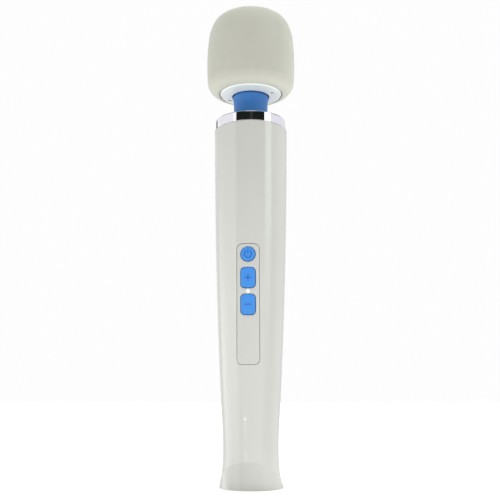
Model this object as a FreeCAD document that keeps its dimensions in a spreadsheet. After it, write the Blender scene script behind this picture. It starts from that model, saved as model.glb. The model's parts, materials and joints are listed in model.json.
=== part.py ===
import FreeCAD, Part
import math
import os

import Sketcher

# A handheld mains-adapter wand massager. A small DC motor in a slender two-shell handle turns a flexible
# coupling in the neck, which spins an off-centre weight between two ball bearings inside a soft round head.
# Frame: +Z runs up the handle to the head, -Y is the front with the buttons, and the origin is the centre
# of the base. Units are millimetres.

doc = FreeCAD.newDocument("wand_massager")
sheet = doc.addObject("Spreadsheet::Sheet", "Dimensions")

V = FreeCAD.Vector
X_AXIS = V(1, 0, 0)
Y_AXIS = V(0, 1, 0)
Z_AXIS = V(0, 0, 1)


# ---------------------------------------------------------------- sizes

class Size(float):
    """A number that also keeps the spreadsheet formula it is worked out from."""

    def __new__(cls, value, formula):
        size = float.__new__(cls, value)
        size.formula = formula
        return size

    def __add__(self, other):
        return Size(float(self) + float(other), f"({self.formula} + {formula_of(other)})")

    def __sub__(self, other):
        return Size(float(self) - float(other), f"({self.formula} - {formula_of(other)})")

    def __mul__(self, other):
        return Size(float(self) * float(other), f"({self.formula} * {formula_of(other)})")

    def __truediv__(self, other):
        return Size(float(self) / float(other), f"({self.formula} / {formula_of(other)})")

    def __neg__(self):
        return Size(-float(self), f"(0 - {self.formula})")

    __radd__ = __add__

    def __rsub__(self, other):
        return Size(float(other) - float(self), f"({formula_of(other)} - {self.formula})")


def formula_of(number):
    return number.formula if isinstance(number, Size) else repr(float(number))


def dimension(alias, value, meaning):
    """Adds a driving dimension to the spreadsheet and returns it as a Size."""
    row = dimension.rows = dimension.rows + 1
    sheet.set(f"A{row}", meaning)
    sheet.set(f"B{row}", str(value))
    sheet.setAlias(f"B{row}", alias)
    return Size(value, f"Dimensions.{alias}")


dimension.rows = 0
NOTHING = Size(0, "0")

# handle outline: radii at named heights
shell_top = dimension("shell_top", 235.2, "top edge of the handle shells")
top_radius = dimension("top_radius", 24.5, "handle radius at the top")
shoulder_z = dimension("shoulder_z", 221.0, "height where the straight upper handle ends")
shoulder_radius = dimension("shoulder_radius", 24.37, "handle radius there")
knee_z = dimension("knee_z", 65.0, "height where the long taper tightens")
knee_radius = dimension("knee_radius", 19.7, "handle radius there")
calf_z = dimension("calf_z", 41.4, "height where the taper turns into the waist")
calf_radius = dimension("calf_radius", 18.28, "handle radius there")
waist_z = dimension("waist_z", 23.0, "height of the narrowest place")
waist_radius = dimension("waist_radius", 17.62, "handle radius there")
ankle_z = dimension("ankle_z", 10.0, "height where the base flare tightens")
ankle_radius = dimension("ankle_radius", 18.37, "handle radius there")
rim_z = dimension("rim_z", 0.9, "height of the widest place of the base")
rim_radius = dimension("rim_radius", 20.85, "base radius there")
edge_round = dimension("edge_round", 0.9, "rounding of the shells' outer edges")
wall = dimension("wall", 2.4, "wall of the shells")
seam_wide = dimension("seam_wide", 0.3, "width of the groove along the parting line")
seam_deep = dimension("seam_deep", 0.5, "depth of that groove")
fit_gap = dimension("fit_gap", 0.1, "gap between pieces that fit into each other")

# slanted facet that trims the front of the flared base
facet_radius = dimension("facet_radius", 20.6, "radius of the leaning cylinder that trims the base")
facet_front = dimension("facet_front", 14.0, "distance of the facet from the axis at the floor")
facet_lean = dimension("facet_lean", 12.2, "lean of the facet in degrees")
facet_top = dimension("facet_top", 18.5, "height above which nothing is trimmed")

# control panel and buttons
panel_width = dimension("panel_width", 14.7, "width of the inlaid panel")
panel_bottom = dimension("panel_bottom", 76.6, "lower end of the panel")
panel_top = dimension("panel_top", 153.2, "upper end of the panel")
panel_corner = dimension("panel_corner", 3.6, "corner radius of the panel")
panel_gap = dimension("panel_gap", 0.25, "groove between panel and shell")
panel_round = dimension("panel_round", 0.25, "rounding of the panel's outer edges and key holes")
button_width = dimension("button_width", 9.1, "width of the three buttons")
button_height = dimension("button_height", 12.8, "height of the plus and minus buttons")
button_corner = dimension("button_corner", 2.5, "corner radius of the plus and minus buttons")
button_gap = dimension("button_gap", 0.3, "gap round a button")
button_proud = dimension("button_proud", 0.7, "how far a button stands out of the panel")
button_round = dimension("button_round", 0.45, "rounding of the buttons' front edges")
icon_line = dimension("icon_line", 0.65, "line width of the engraved symbols")
icon_reach = dimension("icon_reach", 2.1, "half width of the plus and minus symbols")
icon_ring = dimension("icon_ring", 2.3, "radius of the power symbol's ring")
icon_deep = dimension("icon_deep", 0.2, "depth of the engraved symbols")
power_z = dimension("power_z", 146.35, "height of the round power button")
plus_z = dimension("plus_z", 131.3, "height of the plus button")
minus_z = dimension("minus_z", 114.35, "height of the minus button")
lamp_z = dimension("lamp_z", 122.7, "height of the status lamp")
lamp_radius = dimension("lamp_radius", 0.8, "radius of the lamp's light pipe")

# control board, behind the panel
board_width = dimension("board_width", 15.0, "width of the control board")
board_bottom = dimension("board_bottom", 66.0, "lower edge of the control board")
board_top = dimension("board_top", 166.0, "upper edge of the control board")
board_front = dimension("board_front", 11.3, "distance of the board's front face from the axis")
board_thick = dimension("board_thick", 1.6, "thickness of the control board")
switch_side = dimension("switch_side", 6.0, "side of a tactile switch")
switch_deep = dimension("switch_deep", 3.5, "depth of a tactile switch")
plunger_radius = dimension("plunger_radius", 1.6, "radius of a switch plunger")

# chrome ring, neck and head
ring_top = dimension("ring_top", 242.0, "top of the chrome ring")
ring_radius = dimension("ring_radius", 23.5, "radius of the chrome ring")
ring_bore = dimension("ring_bore", 20.4, "inner radius of the chrome ring")
ring_skirt = dimension("ring_skirt", 229.5, "lower end of the ring's skirt inside the shells")
neck_radius = dimension("neck_radius", 11.5, "radius of the neck boot")
neck_flare = dimension("neck_flare", 12.3, "radius of the neck boot under the head")
boot_bore = dimension("boot_bore", 8.2, "inner radius of the neck boot")
flare_z = dimension("flare_z", 258.85, "height where the boot's flare ends")
hub_z = dimension("hub_z", 259.8, "underside of the head's conical base plate round the neck")
plate_z = dimension("plate_z", 261.0, "underside of the base plate at its rim")
plate_radius = dimension("plate_radius", 21.0, "radius of the head's base plate")
side_low_z = dimension("side_low_z", 269.8, "lower end of the head's bulging side")
side_low_radius = dimension("side_low_radius", 29.6, "head radius there")
side_high_z = dimension("side_high_z", 300.2, "upper end of the head's bulging side")
side_high_radius = dimension("side_high_radius", 29.15, "head radius there")
shoulder_edge_z = dimension("shoulder_edge_z", 310.7, "height where the head's shoulder tightens")
shoulder_edge_radius = dimension("shoulder_edge_radius", 26.4, "head radius there")
crown_edge_z = dimension("crown_edge_z", 318.35, "height where shoulder and crown meet")
crown_edge_radius = dimension("crown_edge_radius", 16.7, "head radius there")
crown_z = dimension("crown_z", 319.8, "top of the head")
lip_radius = dimension("lip_radius", 22.2, "radius of the cover's lip round the base plate")
core_radius = dimension("core_radius", 24.0, "radius of the rigid core in the head")
core_top = dimension("core_top", 309.0, "top of the rigid core")

# bearings, shafts and eccentric weight
bearing_radius = dimension("bearing_radius", 9.5, "outer radius of a ball bearing")
bearing_bore = dimension("bearing_bore", 3.0, "bore radius of a ball bearing")
bearing_width = dimension("bearing_width", 6.0, "width of a ball bearing")
ball_radius = dimension("ball_radius", 1.6, "radius of a bearing ball")
ball_circle = dimension("ball_circle", 6.25, "radius of the circle of balls")
lower_bearing_z = dimension("lower_bearing_z", 270.0, "underside of the lower bearing")
upper_bearing_z = dimension("upper_bearing_z", 300.0, "underside of the upper bearing")
shaft_radius = dimension("shaft_radius", 2.0, "radius of the motor shaft")
weight_radius = dimension("weight_radius", 17.5, "radius of the eccentric weight")
weight_z = dimension("weight_z", 280.0, "underside of the eccentric weight")
weight_tall = dimension("weight_tall", 16.0, "height of the eccentric weight")
spring_wire = dimension("spring_wire", 0.9, "wire radius of the neck spring")
spring_radius = dimension("spring_radius", 6.7, "coil radius of the neck spring")
spring_low = dimension("spring_low", 236.0, "lower seat of the neck spring")
spring_high = dimension("spring_high", 268.0, "upper seat of the neck spring")
coupling_radius = dimension("coupling_radius", 3.2, "radius of the flexible coupling")
coupling_low = dimension("coupling_low", 240.0, "lower end of the flexible coupling")
coupling_high = dimension("coupling_high", 261.0, "upper end of the flexible coupling")
coupling_grip = dimension("coupling_grip", 6.0, "length of shaft held in the coupling")

# motor
can_radius = dimension("can_radius", 14.5, "radius of the motor can")
can_wall = dimension("can_wall", 1.2, "wall of the motor can")
can_low = dimension("can_low", 178.0, "lower end of the motor can")
can_high = dimension("can_high", 226.0, "front face of the motor")
cap_low = dimension("cap_low", 171.0, "lower face of the motor's end cap")
rotor_radius = dimension("rotor_radius", 10.8, "radius of the rotor")
isolator_radius = dimension("isolator_radius", 17.6, "outer radius of the rubber isolators")

# base and power inlet
inlet_y = dimension("inlet_y", 3.0, "distance of the power inlet behind the axis")
recess_radius = dimension("recess_radius", 4.5, "radius of the recess round the plug")
recess_deep = dimension("recess_deep", 5.4, "depth of that recess")
jack_bore = dimension("jack_bore", 2.85, "radius of the jack's socket")
pin_radius = dimension("pin_radius", 1.05, "radius of the jack's centre pin")
base_seat_radius = dimension("base_seat_radius", 17.9, "radius of the base plate's seat in the shells")
base_seat_z = dimension("base_seat_z", 3.2, "height of the ledge above the base plate")

# screws that join the shells: one pair at each height, as (height, distance from the middle)
SCREW_PAIRS = ((40.0, 10.0), (100.0, 14.0), (162.0, 16.5))
screw_radius = dimension("screw_radius", 1.45, "thread radius of a shell screw")
screw_head = dimension("screw_head", 2.7, "head radius of a shell screw")
screw_seat = dimension("screw_seat", 7.0, "distance of the screw heads' seat behind the parting plane")
boss_radius = dimension("boss_radius", 3.3, "radius of a front screw boss")
rear_boss_radius = dimension("rear_boss_radius", 4.2, "radius of a rear screw boss")
boss_depth = dimension("boss_depth", 9.0, "depth of the thread hole in a front boss")

BALLS = 7
ROTOR_POLES = 5
CONNECTOR_HEIGHTS = (76.0, 150.0)
SPRING_TURNS = 8


# ---------------------------------------------------------------- helpers

def bind(thing, name, size):
    """Sets a property and, where the size comes from the spreadsheet, binds it to its formula."""
    if "." in name:
        thing.setExpression(name, formula_of(size))
        return
    setattr(thing, name, float(size))
    if isinstance(size, Size):
        thing.setExpression(name, size.formula)


def place(thing, x=0.0, y=0.0, z=0.0, axis=None, angle=0.0):
    """Places an object, bound to the spreadsheet where x, y or z is a Size."""
    rotation = FreeCAD.Rotation(axis, angle) if axis else FreeCAD.Rotation()
    thing.Placement = FreeCAD.Placement(V(float(x), float(y), float(z)), rotation)
    for letter, size in (("x", x), ("y", y), ("z", z)):
        if isinstance(size, Size):
            thing.setExpression(f"Placement.Base.{letter}", size.formula)
    return thing


def new_body(name):
    return doc.addObject("PartDesign::Body", name)


def new_sketch(body, plane, offset=0.0):
    """A sketch on one of the body's own origin planes, moved along its normal by offset."""
    sketch = body.newObject("Sketcher::SketchObject", body.Name + "_sketch")
    origin_plane = [f for f in body.Origin.OriginFeatures if f.Role == plane][0]
    sketch.AttachmentSupport = [(origin_plane, "")]
    sketch.MapMode = "FlatFace"
    sketch.AttachmentOffset = FreeCAD.Placement(V(0, 0, float(offset)), FreeCAD.Rotation())
    if isinstance(offset, Size):
        sketch.setExpression("AttachmentOffset.Base.z", offset.formula)
    return sketch


def fix_coordinate(sketch, kind, geometry, point, size):
    """Fixes one coordinate of a point of a sketch, bound to the spreadsheet."""
    if abs(float(size)) < 1e-9:
        axis = -2 if kind == "DistanceX" else -1
        sketch.addConstraint(Sketcher.Constraint("PointOnObject", geometry, point, axis))
        return
    ends = (-1, 1, geometry, point) if size > 0 else (geometry, point, -1, 1)
    length = size if size > 0 else (-size if isinstance(size, Size) else -float(size))
    index = sketch.addConstraint(Sketcher.Constraint(kind, *ends, float(length)))
    if isinstance(size, Size):
        sketch.setExpression(f"Constraints[{index}]", length.formula)


def arc_through(start, end, centre, leftward):
    """An arc of a circle from start to end about centre, and which of its ends is the start."""
    radius = math.dist(start, centre)
    first, last = (start, end) if leftward else (end, start)
    angles = [math.atan2(p[1] - centre[1], p[0] - centre[0]) for p in (first, last)]
    circle = Part.Circle(V(centre[0], centre[1], 0), Z_AXIS, radius)
    return Part.ArcOfCircle(circle, *angles), (1, 2) if leftward else (2, 1)


def outline(sketch, path):
    """Draws a closed outline. Each entry of path is (x, y), reached by a straight line, or (x, y, how),
    reached by an arc: how is "tangent", for one that leaves the stretch before it smoothly, or a radius,
    positive where the centre lies on the left of the way there."""
    points = [(float(p[0]), float(p[1])) for p in path]
    heading = None
    drawn = []
    for i, entry in enumerate(path):
        start = points[i - 1]
        end = points[i]
        dx, dy = end[0] - start[0], end[1] - start[1]
        chord = math.hypot(dx, dy)
        how = entry[2] if len(entry) > 2 else None
        if how is None:
            line = Part.LineSegment(V(*start, 0), V(*end, 0))
            drawn.append((sketch.addGeometry(line), 1, 2, how))
            heading = math.atan2(dy, dx)
            continue
        if how == "tangent":
            across = -math.sin(heading) * dx + math.cos(heading) * dy
            signed = chord * chord / (2 * across)
            centre = (start[0] - math.sin(heading) * signed, start[1] + math.cos(heading) * signed)
        else:
            signed = float(how)
            rise = math.copysign(math.sqrt(max(signed * signed - chord * chord / 4, 0.0)), signed)
            centre = (start[0] + dx / 2 - dy / chord * rise, start[1] + dy / 2 + dx / chord * rise)
        arc, (first, last) = arc_through(start, end, centre, signed > 0)
        drawn.append((sketch.addGeometry(arc), first, last, how))
        quarter = math.pi / 2 if signed > 0 else -math.pi / 2
        heading = math.atan2(end[1] - centre[1], end[0] - centre[0]) + quarter
    for i, (geometry, first, last, how) in enumerate(drawn):
        before, _, before_end, _ = drawn[i - 1]
        joint = "Tangent" if how == "tangent" else "Coincident"
        sketch.addConstraint(Sketcher.Constraint(joint, before, before_end, geometry, first))
        fix_coordinate(sketch, "DistanceX", geometry, last, path[i][0])
        fix_coordinate(sketch, "DistanceY", geometry, last, path[i][1])
        if how not in (None, "tangent"):
            index = sketch.addConstraint(Sketcher.Constraint("Radius", geometry, abs(float(how))))
            if isinstance(how, Size):
                sketch.setExpression(f"Constraints[{index}]", (how if how > 0 else -how).formula)


def circle(sketch, x, y, radius):
    """Draws a circle with its centre and radius fixed."""
    geometry = sketch.addGeometry(Part.Circle(V(float(x), float(y), 0), Z_AXIS, float(radius)))
    index = sketch.addConstraint(Sketcher.Constraint("Radius", geometry, float(radius)))
    if isinstance(radius, Size):
        sketch.setExpression(f"Constraints[{index}]", radius.formula)
    fix_coordinate(sketch, "DistanceX", geometry, 3, x)
    fix_coordinate(sketch, "DistanceY", geometry, 3, y)


def rounded_rectangle(width, low, high, corner):
    """The path of an upright rounded rectangle, centred on the sketch's vertical axis."""
    side = width / 2
    inner = side - corner
    return [
        (inner, low),
        (side, low + corner, "tangent"),
        (side, high - corner),
        (inner, high, "tangent"),
        (-inner, high),
        (-side, high - corner, "tangent"),
        (-side, low + corner),
        (-inner, low, "tangent"),
    ]


def revolved(name, path):
    """A body turned about the Z axis from an outline of (radius, height) points."""
    body = new_body(name)
    sketch = new_sketch(body, "XZ_Plane")
    outline(sketch, path)
    turn = body.newObject("PartDesign::Revolution", name + "_revolution")
    turn.Profile = sketch
    turn.ReferenceAxis = (sketch, ["V_Axis"])
    turn.Angle = 360
    return body


def ring(name, inner, outer, low, high):
    return revolved(name, [(inner, low), (outer, low), (outer, high), (inner, high)])


def add_pad(body, plane, offset, length, draw):
    """Adds a pad. draw(sketch) draws its outline. On XZ_Plane the offset and the length run to the front."""
    sketch = new_sketch(body, plane, offset)
    draw(sketch)
    pad = body.newObject("PartDesign::Pad", body.Name + "_pad")
    pad.Profile = sketch
    bind(pad, "Length", length)
    return pad


def add_pocket(body, plane, offset, length, draw, along_normal=False):
    """Cuts a pocket. Its default direction is against the sketch's normal."""
    sketch = new_sketch(body, plane, offset)
    draw(sketch)
    pocket = body.newObject("PartDesign::Pocket", body.Name + "_pocket")
    pocket.Profile = sketch
    bind(pocket, "Length", length)
    pocket.Reversed = along_normal
    return pocket


def block(name, x, y, z, width, depth, height):
    """A box centred on x, with its low corner at y and z."""
    box = doc.addObject("Part::Box", name)
    bind(box, "Length", width)
    bind(box, "Width", depth)
    bind(box, "Height", height)
    return place(box, x - width / 2, y, z)


def cylinder(name, radius, height, x=0.0, y=0.0, z=0.0, axis=None, angle=0.0):
    rod = doc.addObject("Part::Cylinder", name)
    bind(rod, "Radius", radius)
    bind(rod, "Height", height)
    return place(rod, x, y, z, axis, angle)


def rod_to_front(name, radius, length, x, y, z):
    """A cylinder that runs from y towards the front."""
    return cylinder(name, radius, length, x, y, z, X_AXIS, 90)


def cut(name, base, tool):
    result = doc.addObject("Part::Cut", name)
    result.Base = base
    result.Tool = tool
    return result


def common(name, base, tool):
    result = doc.addObject("Part::Common", name)
    result.Base = base
    result.Tool = tool
    return result


def fuse(name, shapes):
    result = doc.addObject("Part::MultiFuse", name)
    result.Shapes = shapes
    return result


def rounded(name, base, radius, chosen):
    """Rounds the edges of base that chosen(edge) picks."""
    doc.recompute()
    result = doc.addObject("Part::Fillet", name)
    result.Base = base
    size = float(radius)
    result.Edges = [(i + 1, size, size) for i, edge in enumerate(base.Shape.Edges) if chosen(edge)]
    return result


def lies_on(surface, edge):
    """Whether an edge lies on a surface, judged at its ends and its middle."""
    first, last = edge.ParameterRange
    spots = [edge.valueAt(first), edge.valueAt((first + last) / 2), edge.valueAt(last)]
    return all(surface.distToShape(Part.Vertex(spot))[0] < 0.01 for spot in spots)


def group(name, shapes):
    """Several separate solids kept as one object."""
    result = doc.addObject("Part::Feature", name)
    result.Shape = Part.makeCompound(shapes)
    return result


def copies(name, source, places):
    """Copies of one solid, each moved by a placement."""
    doc.recompute()
    solids = []
    for spot in places:
        solid = source.Shape.copy()
        solid.Placement = spot.multiply(solid.Placement)
        solids.append(solid)
    return group(name, solids)


def turned(count, start=0.0):
    """Placements evenly spaced about the Z axis."""
    return [
        FreeCAD.Placement(V(), FreeCAD.Rotation(Z_AXIS, start + 360.0 * i / count)) for i in range(count)
    ]


nodes = {}


def node(label, thing):
    """Marks an object as a finished sub-part, exported under its label."""
    thing.Label = label
    nodes[label] = thing
    return thing


# ---------------------------------------------------------------- handle shells

def handle_form(name, grow, low_path):
    """The handle turned solid, its radii grown by a size. low_path gives its outline below the ankle."""
    return revolved(name, [
        (0, shell_top),
        (top_radius + grow - edge_round, shell_top),
        (top_radius + grow, shell_top - edge_round, -edge_round),
        (shoulder_radius + grow, shoulder_z),
        (knee_radius + grow, knee_z, "tangent"),
        (calf_radius + grow, calf_z, "tangent"),
        (waist_radius + grow, waist_z, "tangent"),
        (ankle_radius + grow, ankle_z, "tangent"),
        *low_path,
    ])


def facet_waste(name, inset):
    """What the leaning cylinder trims off the front of the base. inset moves its face inwards."""
    lean = math.radians(facet_lean)
    below = 50.0
    front = block(name + "_front", NOTHING, -40.0, -5.0, 60.0, 50.0, facet_top + 5.0)
    tool = doc.addObject("Part::Cylinder", name + "_leaning")
    bind(tool, "Radius", facet_radius - inset)
    tool.Height = 150
    centre = -facet_front + facet_radius / math.cos(lean) + below * math.tan(lean)
    place(tool, 0, centre, -below, X_AXIS, float(facet_lean))
    return cut(name, front, tool)


def make_shells():
    outer_low = [(rim_radius, rim_z, "tangent"), (rim_radius - edge_round * 0.9, 0, -edge_round), (0, 0)]
    outer_turned = handle_form("outer_turned", NOTHING, outer_low)
    outer = cut("outer_form", outer_turned, facet_waste("outer_waste", 0.0))
    inner_turned = revolved("inner_turned", [
        (0, shell_top + 1),
        (top_radius - wall, shell_top + 1),
        (shoulder_radius - wall, shoulder_z),
        (knee_radius - wall, knee_z, "tangent"),
        (calf_radius - wall, calf_z, "tangent"),
        (waist_radius - wall, waist_z, "tangent"),
        (ankle_radius - wall, ankle_z, "tangent"),
        (base_seat_radius - 1, base_seat_z),
        (base_seat_radius, base_seat_z),
        (base_seat_radius, -1),
        (0, -1),
    ])
    cavity = cut("cavity", inner_turned, facet_waste("inner_waste", wall))
    seam_low = [(rim_radius - seam_deep, rim_z, "tangent"), (rim_radius - seam_deep, 0), (0, 0)]
    seam_turned = handle_form("seam_turned", -seam_deep, seam_low)
    seam_core = cut("seam_core", seam_turned, facet_waste("seam_waste", seam_deep))
    seam_slab = block("seam_slab", NOTHING, -seam_wide / 2, -1.0, 80.0, seam_wide, 300.0)
    seam = cut("seam", seam_slab, seam_core)
    hollow = cut("hollow_form", outer, fuse("hollows", [cavity, seam]))

    front_room = block("front_room", NOTHING, -60.0, -10.0, 80.0, 60.0, 300.0)
    rear_room = block("rear_room", NOTHING, 0.0, -10.0, 80.0, 60.0, 300.0)

    # screw bosses: a front one takes the thread, a rear one has a through hole and a counterbore
    front_bosses, rear_bosses, thread_holes, through_holes = [], [], [], []
    for height, reach in SCREW_PAIRS:
        for side in (-1, 1):
            tag = f"{int(height)}_{'left' if side < 0 else 'right'}"
            x = side * reach
            front_bosses.append(rod_to_front("front_boss_" + tag, boss_radius, 30, x, 0, height))
            rear_bosses.append(cylinder("rear_boss_" + tag, rear_boss_radius, 30, x, 0, height, X_AXIS, -90))
            thread_holes.append(
                rod_to_front("thread_hole_" + tag, screw_radius + 0.03, boss_depth, x, 0, height))
            through_holes.append(
                cylinder("through_hole_" + tag, screw_radius + 0.2, 30, x, -1, height, X_AXIS, -90))
            through_holes.append(
                cylinder("counterbore_" + tag, screw_head + 0.3, 30, x, screw_seat, height, X_AXIS, -90))

    ribs = [
        ring("rib_low", isolator_radius + 0.05, 23.0, 184.0, 192.0),
        ring("rib_high", isolator_radius + 0.05, 23.4, 208.0, 216.0),
    ]
    board_bosses = [
        rod_to_front("board_boss_low", 2.6, 12, 0, -board_front, 71.0),
        rod_to_front("board_boss_high", 2.6, 12, 0, -board_front, 161.0),
    ]
    board_holes = [
        rod_to_front("board_hole_low", 1.03, 5, 0, -board_front, 71.0),
        rod_to_front("board_hole_high", 1.03, 5, 0, -board_front, 161.0),
    ]
    inside_front = fuse("inside_front", front_bosses + board_bosses + ribs)
    inside_rear = fuse("inside_rear", rear_bosses + [
        ring("rib_low_rear", isolator_radius + 0.05, 23.0, 184.0, 192.0),
        ring("rib_high_rear", isolator_radius + 0.05, 23.4, 208.0, 216.0),
    ])
    front_solid = fuse("front_solid", [hollow, common("inside_front_trimmed", inside_front, outer)])
    rear_solid = fuse("rear_solid", [hollow, common("inside_rear_trimmed", inside_rear, outer)])

    window = new_body("panel_window")
    add_pad(window, "XZ_Plane", 9.0, 30.0, lambda s: outline(
        s, rounded_rectangle(panel_width, panel_bottom, panel_top, panel_corner)))
    front_half = common("front_half", front_solid, front_room)
    front_cuts = fuse("front_cuts", [window] + thread_holes + board_holes)
    node("front_shell", cut("front_shell_cut", front_half, front_cuts))
    rear_half = common("rear_half", rear_solid, rear_room)
    node("rear_shell", cut("rear_shell_cut", rear_half, fuse("rear_cuts", through_holes)))
    return outer


def make_shell_screws():
    """Six pan-head screws driven from the rear."""
    screw = revolved("shell_screw", [
        (0, -14.0),
        (screw_radius - 0.6, -14.0),
        (screw_radius, -12.5),
        (screw_radius, 0),
        (screw_head, 0),
        (screw_head, 1.3),
        (screw_head - 0.8, 2.1),
        (0, 2.1),
    ])
    slot_one = lambda s: outline(s, [(1.6, -0.3), (1.6, 0.3), (-1.6, 0.3), (-1.6, -0.3)])
    slot_two = lambda s: outline(s, [(0.3, -1.6), (0.3, 1.6), (-0.3, 1.6), (-0.3, -1.6)])
    add_pocket(screw, "XY_Plane", 2.2, 1.3, slot_one)
    add_pocket(screw, "XY_Plane", 2.2, 1.3, slot_two)
    spots = []
    for height, reach in SCREW_PAIRS:
        for side in (-1, 1):
            lay = FreeCAD.Rotation(X_AXIS, -90)
            spots.append(FreeCAD.Placement(V(side * reach, float(screw_seat), height), lay))
    node("shell_screws", copies("shell_screw_set", screw, spots))


# ---------------------------------------------------------------- control panel and buttons

def grip_form(name, grow):
    """The tapering middle of the handle turned solid, with every radius grown by a size."""
    return revolved(name, [
        (0, shell_top),
        (top_radius + grow, shell_top),
        (shoulder_radius + grow, shoulder_z),
        (knee_radius + grow, knee_z, "tangent"),
        (calf_radius + grow, calf_z, "tangent"),
        (0, calf_z),
    ])


def make_panel(outer):
    """The inlaid panel: a piece of the handle's own wall, with three button holes and a lamp hole."""
    lap, flange = 1.2, 0.9
    strip = new_body("panel_strip")
    add_pad(strip, "XZ_Plane", 9.0, 30.0, lambda s: outline(s, rounded_rectangle(
        panel_width - panel_gap * 2, panel_bottom + panel_gap, panel_top - panel_gap,
        panel_corner - panel_gap)))
    wide_strip = new_body("panel_flange_strip")
    add_pad(wide_strip, "XZ_Plane", 9.0, 30.0, lambda s: outline(s, rounded_rectangle(
        panel_width + lap * 2, panel_bottom - lap, panel_top + lap, panel_corner + lap)))
    behind_wall = common("panel_flange", wide_strip, grip_form("panel_flange_form", -wall - 0.1))
    whole = fuse("panel_solid", [common("panel_outer", strip, outer), behind_wall])
    wall_piece = cut("panel_wall", whole, grip_form("panel_back_form", -wall - flange - 0.1))
    holes = [rod_to_front("power_hole", button_width / 2 + button_gap, 30, 0, -5.0, power_z)]
    for name, height in (("plus", plus_z), ("minus", minus_z)):
        hole = new_body(name + "_hole")
        add_pad(hole, "XZ_Plane", 5.0, 30.0, lambda s, z=height: outline(s, rounded_rectangle(
            button_width + button_gap * 2, z - button_height / 2 - button_gap,
            z + button_height / 2 + button_gap, button_corner + button_gap)))
        holes.append(hole)
    holes.append(rod_to_front("lamp_hole", lamp_radius + 0.05, 30, 0, -5.0, lamp_z))
    pierced = cut("panel_pierced", wall_piece, fuse("panel_holes", holes))
    doc.recompute()
    skin = outer.Shape.Shells[0]
    lamp_rim = lambda edge: edge.BoundBox.DiagonalLength < lamp_radius * 4
    node("control_panel", rounded(
        "panel_rounded", pierced, panel_round, lambda edge: not lamp_rim(edge) and lies_on(skin, edge)))


def make_symbol(name, height):
    """The upright symbol of a key, as a tool that runs to the front: a bar, a cross, or a ring and a bar."""
    reach, half = icon_reach, icon_line / 2

    def bar(part, left, right, low, high):
        tool = new_body(f"{name}_{part}")
        add_pad(tool, "XZ_Plane", 9.0, 30.0, lambda s: outline(
            s, [(right, low), (right, high), (left, high), (left, low)]))
        return tool

    if name == "minus":
        return bar("bar", -reach, reach, height - half, height + half)
    if name == "plus":
        across = bar("bar", -reach, reach, height - half, height + half)
        return fuse("plus_cross", [across, bar("post", -half, half, height - reach, height + reach)])
    rod = rod_to_front("power_ring_outer", icon_ring + half, 30.0, 0, -9.0, height)
    core = rod_to_front("power_ring_inner", icon_ring - half, 30.0, 0, -9.0, height)
    opening = bar("opening", -icon_line * 1.6, icon_line * 1.6, height, height + icon_ring * 2)
    open_ring = cut("power_ring", rod, fuse("power_ring_waste", [core, opening]))
    return fuse("power_mark", [open_ring, bar("bar", -half, half, height, height + icon_ring + half)])


def make_buttons():
    """Three keys. Each has a face that follows the handle, a flange behind the panel and a stem."""
    face_form = grip_form("button_face_form", button_proud)
    engraving_floor = grip_form("engraving_floor", button_proud - icon_deep)
    side_lap, end_lap, flange_thick = 0.8, 0.45, 0.8
    plunger_end = board_front + switch_deep + 0.7
    plunger_length = 1.6
    # name, height, and how far from the axis the back of the flange sits
    keys = (("power", power_z, 17.6), ("plus", plus_z, 17.1), ("minus", minus_z, 16.4))
    for name, height, flange_back in keys:

        def draw(sketch, side_grow, end_grow, z=height, name=name):
            if name == "power":
                circle(sketch, 0, z, button_width / 2 + side_grow)
            else:
                reach = button_height / 2 + end_grow
                outline(sketch, rounded_rectangle(
                    button_width + side_grow * 2, z - reach, z + reach, button_corner + end_grow))

        key = new_body(name + "_key")
        add_pad(key, "XZ_Plane", flange_back, 12.0, lambda s: draw(s, 0.0, 0.0))
        flange = new_body(name + "_flange")
        add_pad(flange, "XZ_Plane", flange_back, flange_thick, lambda s: draw(s, side_lap, end_lap))
        stem_length = flange_back - plunger_end - 0.05
        stem = rod_to_front(
            name + "_stem", plunger_radius + 0.1, stem_length, 0, -flange_back + stem_length, height)
        cap = common(name + "_cap", key, face_form)
        smooth = rounded(name + "_cap_rounded", cap, button_round,
                         lambda edge: edge.BoundBox.YMax < -flange_back - 1.0)
        symbol = cut(name + "_symbol_cut", make_symbol(name, height), engraving_floor)
        marked = cut(name + "_cap_marked", smooth, symbol)
        node(name + "_button", fuse(name + "_button_solid", [marked, flange, stem]))
        node(name + "_switch_plunger", rod_to_front(
            name + "_plunger", plunger_radius, plunger_length, 0, -plunger_end + plunger_length, height))


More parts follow.
